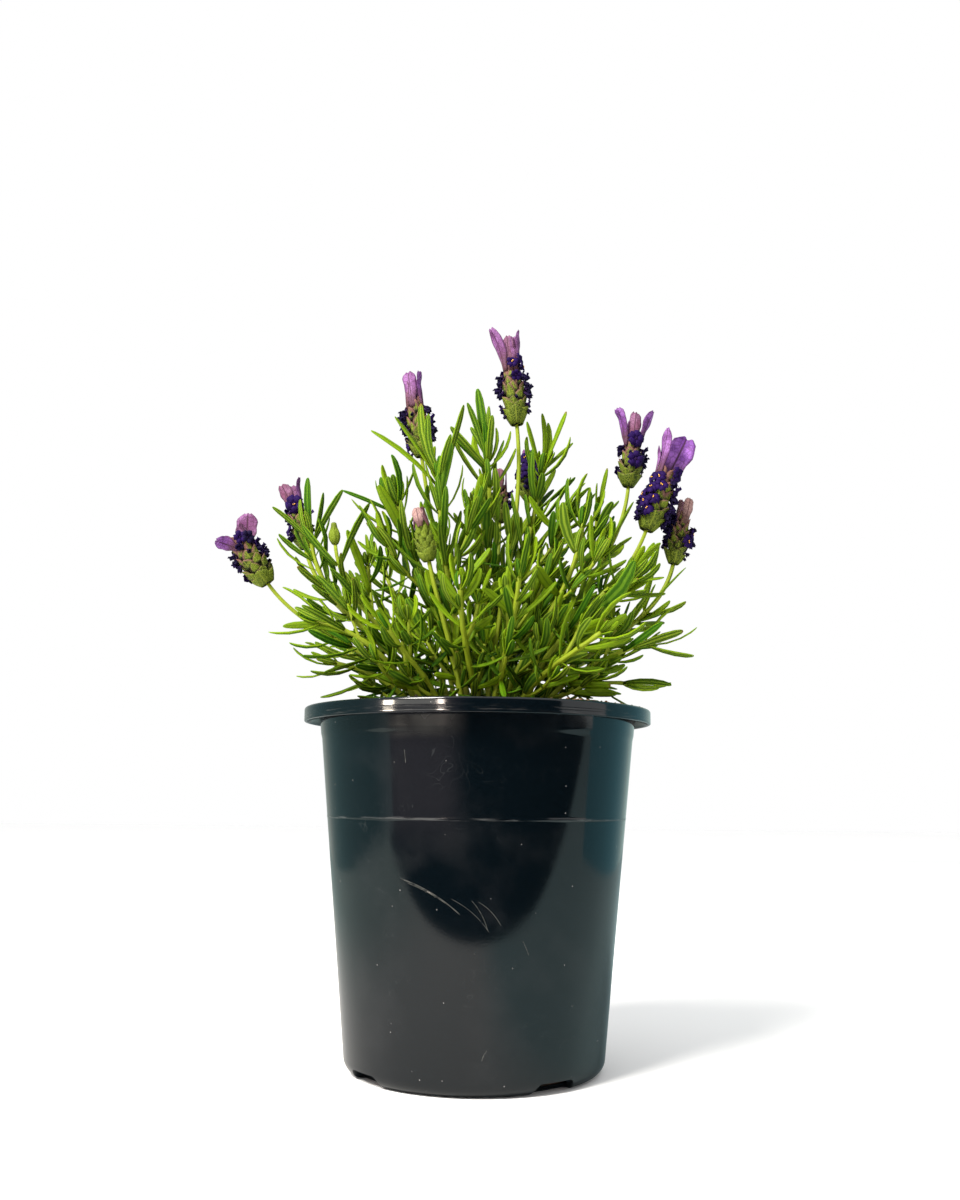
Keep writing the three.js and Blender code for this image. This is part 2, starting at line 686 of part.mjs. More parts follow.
function tuftSolid(head) {
  const frame = headFrame(head);
  const foot = shifted(frame.base, [frame.along, head.length + SEAM]);
  const bearing = (step) => {
    const angle = rad(head.roll) + (2 * Math.PI * step) / head.blades;
    return mixed([frame.side, Math.cos(angle)], [frame.up, Math.sin(angle)]);
  };
  const skin = newSkin();
  const steps = Array.from({ length: head.blades }, (_, k) => k - 0.5);
  const hubRing = (height, radius) =>
    addRing(
      skin,
      steps.map((step) => shifted(foot, [frame.along, height], [bearing(step), radius])),
    );
  const low = hubRing(0, HUB.radius);
  const high = hubRing(HUB.height, HUB.radius * HUB.taper);
  addLid(skin, low.toReversed());
  for (let k = 0; k < head.blades; k++) {
    const out = bearing(k);
    const slant = rad(head.spread);
    const bract = {
      point: shifted(foot, [frame.along, 0.5 * HUB.height], [out, HUB.bractShare * HUB.radius]),
      direction: mixed([frame.along, Math.cos(slant)], [out, Math.sin(slant)]),
      face: mixed([frame.along, Math.sin(slant)], [out, -Math.cos(slant)]),
      length: head.tuft * (k % 2 ? SHORT_BRACT : 1),
      bend: -rad(BRACT_BEND + head.spread),
      width: head.width,
    };
    addBlade(skin, socketOf(low, high, k), bract, BRACT);
  }
  addLid(skin, high);
  return solidOf(skin);
}

// ---------------------------------------------------------------- pot and potting mix
const POT_TAPER = (POT.wallRadiusHigh - POT.wallRadiusLow) / (POT.height - POT.cornerHeight);
const wallRadius = (z) => POT.wallRadiusLow + POT_TAPER * (z - POT.cornerHeight);

function lathe(profile, sides) {
  const geometry = new THREE.LatheGeometry(
    profile.map(([r, z]) => new THREE.Vector2(r, z)),
    sides,
  );
  return solidOfGeometry(geometry.rotateX(Math.PI / 2));
}

function potSolid() {
  const { height, wall, floor, footRadius, cornerHeight, rimRadius, lipDrop, lipThickness } = POT;
  const { stackRingHeight: ring, ringHalf, shoulderHeight: shoulder, shoulderProud: proud } = POT;
  const inside = (z) => wallRadius(z) - wall;
  const corner = [0, 30, 60, 90].map((a) => [
    footRadius + (wallRadius(cornerHeight) - footRadius) * Math.sin(rad(a)),
    cornerHeight * (1 - Math.cos(rad(a))),
  ]);
  const lipInner = rimRadius - lipThickness;
  const underLip = height - lipThickness;
  const profile = [
    [0, 0],
    ...corner,
    [wallRadius(ring - ringHalf), ring - ringHalf],
    [wallRadius(ring) + POT.stackRingProud, ring],
    [wallRadius(ring + ringHalf), ring + ringHalf],
    [wallRadius(shoulder), shoulder],
    [wallRadius(shoulder) + proud, shoulder + POT.shoulderSlope],
    [wallRadius(underLip) + proud, underLip],
    [lipInner, underLip],
    [lipInner, height - lipDrop],
    [rimRadius, height - lipDrop],
    [rimRadius, height - POT.lipRounding],
    [rimRadius - POT.lipRounding, height],
    [inside(height), height],
    [inside(cornerHeight), cornerHeight],
    [footRadius - POT.insideCorner, floor],
    [0, floor],
  ];
  const notches = NOTCH.angles.map((angle) => {
    // half of the block is under the pot
    const box = new THREE.BoxGeometry(NOTCH.width, NOTCH.depth, 2 * NOTCH.height);
    box.translate(0, -(POT.wallRadiusLow - NOTCH.depth / 2 + NOTCH.outside), 0);
    return solidOfGeometry(box.rotateZ(rad(angle)));
  });
  return notches.reduce((pot, notch) => pot.subtract(notch), lathe(profile, POT.sides));
}

// The potting mix fills the pot, with a hole for the foot of each stem.
function mixSolid(feet) {
  const random = draws(SEED.mix);
  const inside = (z) => wallRadius(z) - POT.wall - MIX.wallClearance;
  const turns = Array.from({ length: MIX.sides }, (_, k) => (2 * Math.PI * k) / MIX.sides);
  const ring = (radius, heightOf) =>
    turns.map((a) => new THREE.Vector3(radius * Math.cos(a), radius * Math.sin(a), heightOf()));
  const flat = (radius, z) => ring(radius, () => z);
  const bumpy = (radius) => ring(radius, () => MIX.top + MIX.unevenness * (random() - 0.5));
  const edge = MIX.top - MIX.edgeFall;
  const aboveCorner = POT.cornerHeight + MIX.overCorner;
  const mix = loft([
    flat(POT.footRadius - MIX.footInset, POT.floor + MIX.clearance),
    flat(inside(aboveCorner), aboveCorner),
    flat(inside(edge), edge),
    bumpy(inside(edge) - MIX.edgeBand),
    bumpy(MIX.moundRadius),
    flat(MIX.middleRadius, MIX.top),
  ]);
  const holes = feet.map((foot) => {
    const radius = foot.radius + MIX.clearance * Math.SQRT2;
    const bottom = { ...foot, radius, centre: shifted(foot.centre, [UP, -MIX.clearance]) };
    const top = shifted(foot.centre, [UP, MIX.holeDepth + MIX.overHole]);
    const mouth = { ...foot, radius: MIX.holeFlare * radius, centre: top };
    return loft([squareRing(bottom), squareRing(mouth)]);
  });
  return holes.reduce((rest, hole) => rest.subtract(hole), mix);
}

// ---------------------------------------------------------------- assembly
const lavender = new THREE.Group();
lavender.add(meshOf("pot", potSolid(), COLOURS.pot, 0.3));
const grown = STEMS.map(growStem);
lavender.add(meshOf("potting_mix", mixSolid(grown.map(({ foot }) => foot)), COLOURS.mix, 0.95));
STEMS.forEach((stem, i) => lavender.add(meshOf(stem.name, grown[i].solid, COLOURS.leaf, 0.55)));
HEADS.forEach((head, i) => {
  lavender.add(meshOf("spike_" + head.name, spikeSolid(head, i), COLOURS.spike, 0.7));
  lavender.add(meshOf("tuft_" + head.name, tuftSolid(head), COLOURS.bract, 0.6));
});
lavender.add(meshOf("bud_left", spikeSolid(BUD, HEADS.length), COLOURS.spike, 0.7));

export default lavender;
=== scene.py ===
"""A Spanish lavender in a round plastic nursery pot.

Sizes are in millimetres until a mesh is made, which turns them into metres. +Z is up, the origin is
the centre of the pot's flat floor, and -Y is the side that faces the camera.
"""

import math
from dataclasses import dataclass, replace

import bpy
import numpy as np
from mathutils import Matrix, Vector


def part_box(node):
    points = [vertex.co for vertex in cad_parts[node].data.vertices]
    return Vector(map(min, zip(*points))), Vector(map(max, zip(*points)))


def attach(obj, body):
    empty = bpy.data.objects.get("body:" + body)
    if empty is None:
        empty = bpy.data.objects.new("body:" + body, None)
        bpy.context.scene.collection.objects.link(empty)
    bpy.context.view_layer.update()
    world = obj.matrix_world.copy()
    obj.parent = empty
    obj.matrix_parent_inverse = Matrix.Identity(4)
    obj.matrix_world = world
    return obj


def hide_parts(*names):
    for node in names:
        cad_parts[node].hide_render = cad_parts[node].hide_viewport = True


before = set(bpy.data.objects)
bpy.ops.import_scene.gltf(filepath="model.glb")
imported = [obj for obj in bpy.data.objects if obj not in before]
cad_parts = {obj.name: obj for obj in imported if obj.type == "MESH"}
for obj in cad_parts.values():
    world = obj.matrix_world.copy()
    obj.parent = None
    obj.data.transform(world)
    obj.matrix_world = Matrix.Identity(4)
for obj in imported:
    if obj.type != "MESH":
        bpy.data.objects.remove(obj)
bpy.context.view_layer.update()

# ---------------------------------------------------------------- pot
# One injection-moulded pot of black polypropylene, handled and scuffed. A tapered wall carries a
# turned-down lip, a small step under the lip and a fine raised line where the pots nest, and the edge
# of the floor has four drain notches.
MM = 0.001
RIM_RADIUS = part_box("pot")[1].x / MM
POT_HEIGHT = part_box("pot")[1].z / MM
WALL = 1.4
FLOOR = 2
FOOT_RADIUS = 65
CORNER_HEIGHT = 8
WALL_LOW = 72.6  # outer radius of the wall just above the corner
WALL_HIGH = 91.2  # and under the lip
LINE_HEIGHT = 137
LINE_PROUD = 0.13
LINE_SPREAD = 0.7
STEP_HEIGHT = 180
STEP_RISE = 4
STEP_PROUD = 0.4
LIP_DROP = 8
LIP_THICKNESS = 1.6
LIP_TOP_ROUND = 1.5
HEM_ROUND = 0.6
UNDER_ROUND = 0.8  # of both corners under the lip
MOUTH_ROUND = 0.9
RIM_FLAT = 95  # where the rim's flat top begins, seen from the middle
GROOVE_HEIGHTS = (192.1, 193.4)  # of two fine grooves worn along the lip by other pots
GROOVE_DEPTH = 0.09
GROOVE_SPREAD = 0.25
CENTRE = 0.4  # the radius of the flat lids that close turned shapes
TURNS = 192  # faces round the pot


def wall_radius(z):
    """The taper, plus a ridge at the nesting line and a step under the lip."""
    taper = (WALL_HIGH - WALL_LOW) / (POT_HEIGHT - CORNER_HEIGHT)
    ridge = LINE_PROUD * np.exp(-(((z - LINE_HEIGHT) / LINE_SPREAD) ** 2))
    rise = np.clip((z - STEP_HEIGHT) / STEP_RISE, 0, 1)
    step = STEP_PROUD * rise**2 * (3 - 2 * rise)
    return WALL_LOW + taper * (z - CORNER_HEIGHT) + ridge + step


def inner_radius(z):
    return wall_radius(z) - WALL


def arc(centre, radii, start, end, count):
    """Points on an ellipse about the centre, from one angle to another in degrees."""
    angles = np.radians(np.linspace(start, end, count))
    return np.stack([centre[0] + radii[0] * np.cos(angles), centre[1] + radii[1] * np.sin(angles)], -1)


def quarter(x, z, radius, start, end, count):
    return arc((x, z), (radius, radius), start, end, count)


def up_wall(radius_at, *heights):
    heights = np.concatenate(heights)
    return np.stack([radius_at(heights), heights], -1)


def lip_face(low, high):
    """The lip's outer face with its worn grooves."""
    z = np.linspace(low, high, 19)
    groove = sum(GROOVE_DEPTH * np.exp(-(((z - at) / GROOVE_SPREAD) ** 2)) for at in GROOVE_HEIGHTS)
    return np.stack([RIM_RADIUS - groove, z], -1)


def pot_profile():
    """Radius and height round the pot's section, from the middle of its underside, up the outside,
    over the lip and down the inside. Rows stand closer at the raised line and at the step."""
    corner_width = wall_radius(CORNER_HEIGHT) - FOOT_RADIUS
    ceiling = POT_HEIGHT - LIP_THICKNESS
    under = ceiling - UNDER_ROUND
    inner_lip = RIM_RADIUS - LIP_THICKNESS
    hem = POT_HEIGHT - LIP_DROP
    shoulder = POT_HEIGHT - LIP_TOP_ROUND
    return np.concatenate([
        [[CENTRE, 0], [30, 0], [58, 0]],
        arc((FOOT_RADIUS, CORNER_HEIGHT), (corner_width, CORNER_HEIGHT), -90, 0, 12),
        up_wall(
            wall_radius,
            np.linspace(CORNER_HEIGHT + 2, LINE_HEIGHT - 3, 20),
            np.linspace(LINE_HEIGHT - 2, LINE_HEIGHT + 2, 13),
            np.linspace(LINE_HEIGHT + 4, STEP_HEIGHT - 2, 7),
            np.linspace(STEP_HEIGHT - 0.4, STEP_HEIGHT + STEP_RISE + 0.4, 13),
            np.linspace(STEP_HEIGHT + STEP_RISE + 2, under, 4),
        ),
        quarter(wall_radius(ceiling) + UNDER_ROUND, under, UNDER_ROUND, 180, 90, 4),
        [[inner_lip - UNDER_ROUND, ceiling]],
        quarter(inner_lip - UNDER_ROUND, under, UNDER_ROUND, 90, 0, 4),
        [[inner_lip, hem + 0.4], [inner_lip + 0.3, hem]],
        quarter(RIM_RADIUS - HEM_ROUND, hem + HEM_ROUND, HEM_ROUND, -90, 0, 5),
        lip_face(hem + 1, shoulder - 0.3),
        quarter(RIM_RADIUS - LIP_TOP_ROUND, shoulder, LIP_TOP_ROUND, 0, 90, 7),
        [[RIM_FLAT, POT_HEIGHT]],
        quarter(inner_radius(POT_HEIGHT) + MOUTH_ROUND, POT_HEIGHT - MOUTH_ROUND, MOUTH_ROUND, 90, 180, 5),
        up_wall(inner_radius, np.linspace(POT_HEIGHT - 2, CORNER_HEIGHT, 8)),
        [[FOOT_RADIUS - 1, FLOOR], [30, FLOOR], [CENTRE, FLOOR]],
    ])


def bands(rows, columns):
    """Faces between rings of points that close on themselves. A ring runs anticlockwise seen from
    where the surface goes next, so that the faces point outwards."""
    low = np.arange((rows - 1) * columns).reshape(rows - 1, columns)
    after = np.roll(low, -1, axis=1)
    return np.stack([low, after, after + columns, low + columns], -1).reshape(-1, 4)


def closed_rings(rows, columns):
    """Faces of a closed surface of rings, with a flat lid at each end."""
    total = rows * columns
    lids = [np.arange(columns)[::-1].tolist(), np.arange(total - columns, total).tolist()]
    return bands(rows, columns).tolist() + lids


def lathe(profile, turns):
    """The profile turned about the Z axis: x = r cos a, y = r sin a, from a = 90 degrees."""
    angles = np.pi / 2 + np.arange(turns) * 2 * np.pi / turns
    ring = np.stack([np.cos(angles), np.sin(angles)], -1)
    flat = profile[:, None, :1] * ring
    height = np.broadcast_to(profile[:, None, 1:], flat.shape[:2] + (1,))
    return np.concatenate([flat, height], -1)


def new_mesh(name, points, faces):
    mesh = bpy.data.meshes.new(name)
    mesh.from_pydata(np.asarray(points).reshape(-1, 3) * MM, [], faces)
    mesh.shade_smooth()
    return mesh


def new_object(name, data):
    made = bpy.data.objects.new(name, data)
    bpy.context.scene.collection.objects.link(made)
    return made


def new_piece(name, mesh, materials, slot, *nodes):
    """Puts a finished mesh in the scene, in place of CAD nodes where they are named."""
    for material in materials:
        mesh.materials.append(material)
    piece = new_object(name, mesh)
    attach(piece, "root")
    if nodes:
        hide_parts(*nodes)


def give_uv(mesh, uv):
    """Sets a UV map from one pair of numbers for each point."""
    corners = np.zeros(len(mesh.loops), np.int32)
    mesh.loops.foreach_get("vertex_index", corners)
    layer = mesh.uv_layers.new(name="UVMap")
    layer.uv.foreach_set("vector", np.asarray(uv, np.float32).reshape(-1, 2)[corners].ravel())


def give_attribute(mesh, name, values):
    attribute = mesh.attributes.new(name, "FLOAT", "POINT")
    attribute.data.foreach_set("value", np.asarray(values, np.float32).ravel())


class Value:
    """What a material works out at each point of a surface. A sum or product of values puts the shader
    node that works it out."""

    def __init__(self, socket):
        self.socket = socket

    def worked(self, operation, *others):
        return put(self.socket.id_data, "Math", (self, *others), operation=operation)

    def __add__(self, other):
        return self.worked("ADD", other)

    def __sub__(self, other):
        return self.worked("SUBTRACT", other)

    def __mul__(self, other):
        return self.worked("MULTIPLY", other)

    def __truediv__(self, other):
        return self.worked("DIVIDE", other)

    def __abs__(self):
        return self.worked("ABSOLUTE")

    def or_more(self, other):
        return self.worked("MAXIMUM", other)


def put(tree, kind, inputs=(), output=0, **settings):
    """Adds a shader node and gives the value at its output. Inputs are numbers, colours or values, by
    number or by name."""
    node = tree.nodes.new("ShaderNode" + kind)
    for name, setting in settings.items():
        setattr(node, name, setting)
    for key, given in inputs.items() if isinstance(inputs, dict) else enumerate(inputs):
        if isinstance(given, Value):
            tree.links.new(given.socket, node.inputs[key])
        else:
            node.inputs[key].default_value = given
    return Value(node.outputs[output])


def coordinates(vector):
    """The X, Y and Z values of a vector."""
    parts = put(vector.socket.id_data, "SeparateXYZ", [vector]).socket.node.outputs
    return [Value(part) for part in parts]


def uv_of(tree):
    return put(tree, "UVMap", uv_map="UVMap")


def attribute_of(tree, name):
    return put(tree, "Attribute", output="Fac", attribute_name=name)


def stretched(where, *scale):
    return put(where.socket.id_data, "Mapping", {"Vector": where, "Scale": scale})


def noise(where, scale, detail=3.0):
    return put(where.socket.id_data, "TexNoise", {"Vector": where, "Scale": scale, "Detail": detail})


def ramp(value, low, high):
    """0 below low, 1 above high and a smooth rise between; low over high turns it round."""
    inputs = {"Value": value, "From Min": low, "From Max": high}
    return put(value.socket.id_data, "MapRange", inputs, interpolation_type="SMOOTHSTEP")


def mix(share, first, second):
    """The first colour at share 0 and the second at share 1."""
    inputs = {0: share, 6: first, 7: second}
    return put(share.socket.id_data, "Mix", inputs, output=2, data_type="RGBA")


def bump(height, distance, normal=None):
    """A normal tilted as on a relief as deep as the distance, laid on another relief's normal."""
    inputs = {"Height": height, "Distance": distance * MM}
    if normal:
        inputs["Normal"] = normal
    return put(height.socket.id_data, "Bump", inputs)


def linear(red, green, blue):
    """A colour as it is seen, 0 to 255, in the linear numbers that shaders use."""
    shares = [c / 255 for c in (red, green, blue)]
    return tuple(s / 12.92 if s <= 0.04045 else ((s + 0.055) / 1.055) ** 2.4 for s in shares) + (1.0,)


def new_material(name, **sockets):
    """A material with one Principled shader, whose constant sockets are set by name. Gives it, its
    node tree, where on the object each point lies, and what sets the sockets that vary."""
    material = bpy.data.materials.new(name)
    material.use_nodes = True
    tree = material.node_tree
    shader = tree.nodes["Principled BSDF"]
    for key, value in sockets.items():
        shader.inputs[key.replace("_", " ")].default_value = value

    def finish(**varying):
        for key, value in varying.items():
            tree.links.new(value.socket, shader.inputs[key.replace("_", " ")])
        return material

    return tree, put(tree, "TexCoord", output="Object"), finish


# Scratches on the front of the wall: both ends, as distance round the pot from the front and as height,
# how far the line bows, and its width.
SCRATCHES = [
    ((-42.2, 107.0), (-7.6, 89.3), 2.4, 0.36),
    ((-38.0, 105.0), (-15.5, 95.0), 0.9, 0.22),
    ((-2.4, 97.2), (6.8, 81.6), 1.2, 0.22),
    ((1.0, 96.5), (14.0, 84.0), 1.4, 0.20),
    ((-13.5, 97.8), (8.0, 80.5), 2.0, 0.16),
    ((26.0, 77.0), (30.0, 69.5), 0.2, 0.22),
    ((4.4, 18.6), (7.4, 24.0), 0.4, 0.40),
    ((-37.0, 172.0), (-36.4, 165.0), 0.1, 0.28),
]
WRAP_RADIUS = 85  # the radius at which distances round the wall are measured


def scratch_mask(across, height, start, end, bow, width):
    """1 on a thin bowed line: x runs along it, y is the distance from the bow 4 b x (1 - x)."""
    run = math.dist(start, end)
    east, north = ((e - s) / run for s, e in zip(start, end))
    from_left = across - start[0]
    from_foot = height - start[1]
    x = (from_foot * north + from_left * east) / run
    hump = x * (x * -1.0 + 1.0)
    y = hump * (-4 * bow) + (from_foot * east + from_left * -north)
    return ramp(abs(y), width, 0.3 * width) * ramp(hump, 0.0, 0.08)


def black_plastic():
    """Glossy black with a film of dust, worn lines, hairlines, specks and a few deep scratches."""
    tree, where, finish = new_material("black_plastic", Specular_IOR_Level=0.5)
    height = coordinates(where)[2] / MM
    across, up, _ = coordinates(uv_of(tree))
    smear = stretched(where, 1, 1, 14)

    film = ramp(noise(where, 32, 6.0), 0.48, 0.78)
    # band: lighter over the front left of the wall, fading in between 112 and 146 mm high.
    band = ramp(across, -58, -38) * ramp(across, -2, -18) * ramp(up, 112, 146)
    under_lip = ramp(height, 176, 184) * ramp(height, 190.2, 189.4)
    haze = under_lip * ramp(noise(where, 22), 0.3, 0.6) * band
    rubbed = ramp(noise(smear, 60, 5.0), 0.46, 0.66)
    worn_line = ramp(abs(height - (LINE_HEIGHT - 0.2)), 1.0, 0.2) * rubbed
    worn_rim = ramp(height, 190, 191) * ramp(height, 194.6, 193) * ramp(noise(smear, 90, 5.0), 0.5, 0.72)

    cells = put(tree, "TexVoronoi", {"Vector": where, "Scale": 260.0}, output="Distance")
    draw = put(tree, "SeparateColor", [Value(cells.socket.node.outputs["Color"])])
    speck = ramp(cells, 0.12, 0.05) * ramp(draw, 0.88, 0.96)
    curls = put(tree, "TexNoise", {"Vector": where, "Scale": 75.0, "Detail": 1.0, "Distortion": 1.6})
    hairline = ramp(abs(curls - 0.5), 0.006, 0.0) * ramp(noise(where, 26, 2.0), 0.5, 0.62)
    lines, *others = [scratch_mask(across, up, *scratch) for scratch in SCRATCHES]
    for other in others:
        lines = lines.or_more(other)
    scratch = lines * ramp(noise(where, 400, 2.0), 0.25, 0.55)

    colour = (0.0010, 0.0024, 0.0036, 1)  # of clean plastic
    for share, dust in (
        (film * 0.30, (0.013, 0.014, 0.016, 1)),
        (band * 0.75, (0.0085, 0.0085, 0.0105, 1)),
        (haze * 0.75, (0.032, 0.031, 0.029, 1)),
        (hairline * 0.20, (0.05, 0.055, 0.055, 1)),
        (worn_rim * 0.30, (0.06, 0.058, 0.055, 1)),
        (worn_line * 0.60, (0.06, 0.062, 0.062, 1)),
        (speck, (0.15, 0.145, 0.14, 1)),
        (scratch * 0.6, (0.075, 0.075, 0.066, 1)),
    ):
        colour = mix(share, colour, dust)
    dull = film * 0.10 + 0.085 + haze * 0.22 + worn_line * 0.25 + worn_rim * 0.12
    waves = bump(noise(where, 16, 1.0), 0.16)
    grain = bump(noise(where, 900, 2.0), 0.006, waves)
    cut = bump(scratch.or_more(speck) * -1.0, 0.05, grain)
    return finish(Base_Color=colour, Roughness=dull, Normal=cut)


NOTCH_ANGLES = (36, 126, 216, 306)
NOTCH_WIDTH = 27
NOTCH_HEIGHT = 6
NOTCH_DEPTH = 13
NOTCH_OUTSIDE = 2  # how far the cut runs past the wall
NOTCH_TOP = 0.8  # of the width
NOTCH_FOOT = 1.3
NOTCH_ROUND = 2.2


def notch_block(angle):
    """A block with rounded edges that cuts one drain notch."""
    mesh = bpy.data.meshes.new("notch")
    corners = np.array([[x, y, z] for x in (-1, 1) for y in (-1, 1) for z in (-1, 1)], float)
    corners *= np.array([NOTCH_WIDTH, NOTCH_DEPTH, 2 * NOTCH_HEIGHT]) / 2
    corners[:, 0] *= np.where(corners[:, 2] > 0, NOTCH_TOP, NOTCH_FOOT)
    corners[:, 1] -= WALL_LOW - NOTCH_DEPTH / 2 + NOTCH_OUTSIDE
    sides = [(0, 1, 3, 2), (4, 6, 7, 5), (0, 4, 5, 1), (2, 3, 7, 6), (0, 2, 6, 4), (1, 5, 7, 3)]
    mesh.from_pydata(corners * MM, [], sides)
    mesh.transform(Matrix.Rotation(math.radians(angle), 4, "Z"))
    block = new_object("notch", mesh)
    rounding = block.modifiers.new("round", "BEVEL")
    rounding.width = NOTCH_ROUND * MM
    rounding.segments = 4
    return block


def cut_notches(mesh):
    """The mesh less a block at each notch."""
    raw = new_object("raw_pot", mesh)
    blocks = [notch_block(angle) for angle in NOTCH_ANGLES]
    for block in blocks:
        cut = raw.modifiers.new("cut", "BOOLEAN")
        cut.operation = "DIFFERENCE"
        cut.solver = "EXACT"
        cut.object = block
    graph = bpy.context.evaluated_depsgraph_get()
    cut_mesh = bpy.data.meshes.new_from_object(raw.evaluated_get(graph), depsgraph=graph)
    for helper in [raw, *blocks]:
        bpy.data.objects.remove(helper)
    return cut_mesh


def wrapped(mesh):
    """Distance round the pot from its front at the wrap radius, and height, for each point."""
    points = np.zeros(len(mesh.vertices) * 3, np.float32)
    mesh.vertices.foreach_get("co", points)
    x, y, z = points.reshape(-1, 3).T
    return np.stack([np.arctan2(x, -y) * WRAP_RADIUS, z / MM], -1)


profile = pot_profile()
pot_mesh = cut_notches(new_mesh("pot_shell", lathe(profile, TURNS), closed_rings(len(profile), TURNS)))
pot_mesh.shade_smooth()
pot_mesh.set_sharp_from_angle(angle=math.radians(38))
give_uv(pot_mesh, wrapped(pot_mesh))
new_piece("nursery_pot", pot_mesh, [black_plastic()], "pot_plastic", "pot")

# ---------------------------------------------------------------- potting mix
# Composted bark that fills the pot to a little under its rim: a dark crumbly ground, with chips of
# bark pressed into it and a few crumbs spilt on the rim.
MIX_TOP = 188
MIX_GAP = 0.7  # to the pot's wall
MIX_EDGE_FALL = 3
EDGE_FROM = 78  # the radius where the ground starts to fall
EDGE_WIDTH = 9
MOUNDS = 0.8
CRUMBLE = 0.42
# Waves of the ground: how fast each rises along X and Y, and where it starts.
WAVES = [(0.11, 0.05, 0.4), (-0.07, 0.13, 2.1), (0.24, -0.19, 4.0), (0.41, 0.33, 1.0), (-0.5, 0.37, 5.2)]


def ground_height(x, y):
    """Low mounds, as a sum of waves in different directions, and a fall towards the wall."""
    bumps = sum(np.sin(a * x + b * y + c) / (1 + 6 * math.hypot(a, b)) for a, b, c in WAVES)
    fall = np.clip((np.hypot(x, y) - EDGE_FROM) / EDGE_WIDTH, 0, 1) ** 2
    return MIX_TOP + MOUNDS * bumps - MIX_EDGE_FALL * fall


def ground_points(turns=120):
    """Rings from the middle of the underside, up the side, and in again over the crumbly top."""
    low = FLOOR + 0.4
    sides = [(CENTRE, low), (FOOT_RADIUS - 3, low)]
    sides += [(inner_radius(z) - MIX_GAP, z) for z in (10, 100)]
    edge = inner_radius(MIX_TOP - MIX_EDGE_FALL) - MIX_GAP
    angles = np.arange(turns) * 2 * np.pi / turns
    radii = np.append([r for r, _ in sides], np.linspace(edge, CENTRE, 56))[:, None]
    x = radii * np.cos(angles)
    y = radii * np.sin(angles)
    z = ground_height(x, y)
    z[: len(sides)] = np.array([height for _, height in sides])[:, None]
    top = slice(len(sides) + 1, -1)
    z[top] += np.random.default_rng(11).normal(0, CRUMBLE, z.shape)[top]
    return np.stack([x, y, z], -1)


def bark_material(name, dark, light):
    """Matt fibres of two browns, some chips darker than others."""
    tree, where, finish = new_material(name, Roughness=0.9, Specular_IOR_Level=0.25)
    fibre = noise(stretched(where, 1, 2.5, 1), 420, 5.0)
    shade = fibre * 0.7 + (attribute_of(tree, "tone") - 0.35)
    return finish(Base_Color=mix(ramp(shade, 0.05, 0.85), dark, light), Normal=bump(fibre, 0.35))


GROUND = bark_material("fine_bark", linear(22, 16, 12), linear(74, 54, 40))
CHIPS = bark_material("bark_chips", linear(26, 19, 13), linear(104, 78, 56))

ground = ground_points()
ground_mesh = new_mesh("ground", ground, closed_rings(*ground.shape[:2]))
give_attribute(ground_mesh, "tone", np.random.default_rng(12).random(ground.shape[:2]))
new_piece("bark_mix", ground_mesh, [GROUND], "bark_mix", "potting_mix")

# A chip is a lump of 14 points: a point at each end and two rings of six between.
CHIP_POINTS = 14
CHIP_SHAKE = 0.16  # of its size
CHIP_TILT = 0.28
CHIP_COUNT = 1500
CHIP_REACH = 85
CHIP_LENGTHS = (0.7, 5)
CHIP_LIFT = 0.3  # its middle over the ground
RIGHT_CRUMBS = 26
RIGHT_BEARING = (38, 9)  # degrees from the front, and how far they spread
OTHER_CRUMBS = 22
CRUMB_PLACES = (91.5, 98)  # the radii of the rim's flat top
CRUMB_LENGTHS = (0.35, 1.2)
RIM_OF_CHIP = np.arange(6)
NEXT_ON_RIM = (RIM_OF_CHIP + 1) % 6
CHIP_FACES = np.concatenate([
    np.stack([0 * RIM_OF_CHIP, 1 + NEXT_ON_RIM, 1 + RIM_OF_CHIP], -1),
    np.stack([1 + RIM_OF_CHIP, 1 + NEXT_ON_RIM, 7 + NEXT_ON_RIM], -1),
    np.stack([1 + RIM_OF_CHIP, 7 + NEXT_ON_RIM, 7 + RIM_OF_CHIP], -1),
    np.stack([7 + RIM_OF_CHIP, 7 + NEXT_ON_RIM, 13 + 0 * RIM_OF_CHIP], -1),
])


def chip_points(rng, middles, sizes):
    """Flattened lumps, shaken, and turned at random about the upright with a slight tilt."""
    count = len(middles)
    angles = RIM_OF_CHIP * np.pi / 3
    ring = np.stack([np.cos(angles), np.sin(angles)], -1)
    shape = np.concatenate([
        [[0, 0, -1]],
        np.column_stack([0.9 * ring, np.full(6, -0.45)]),
        np.column_stack([ring, np.full(6, 0.5)]),
        [[0, 0, 1]],
    ])
    shake = rng.normal(0, CHIP_SHAKE, (count, CHIP_POINTS, 3))
    lumps = shape * sizes[:, None] + shake * sizes[:, None]
    turn = rng.uniform(0, 2 * np.pi, count)
    tilt = rng.normal(0, CHIP_TILT, count)
    c, s, ct, st = np.cos(turn), np.sin(turn), np.cos(tilt), np.sin(tilt)
    spin = np.stack([
        np.stack([c, -s * ct, s * st], -1),
        np.stack([s, c * ct, -c * st], -1),
        np.stack([0 * c, st, ct], -1),
    ], 1)
    return np.einsum("nij,nkj->nki", spin, lumps) + middles[:, None]


def chips_mesh(name, middles, sizes, rng):
    points = chip_points(rng, middles, sizes)
    faces = (CHIP_FACES + CHIP_POINTS * np.arange(len(points))[:, None, None]).reshape(-1, 3)
    mesh = new_mesh(name, points, faces.tolist())
    mesh.set_sharp_from_angle(angle=math.radians(35))
    give_attribute(mesh, "tone", np.repeat(rng.random(len(points)), CHIP_POINTS))
    return mesh


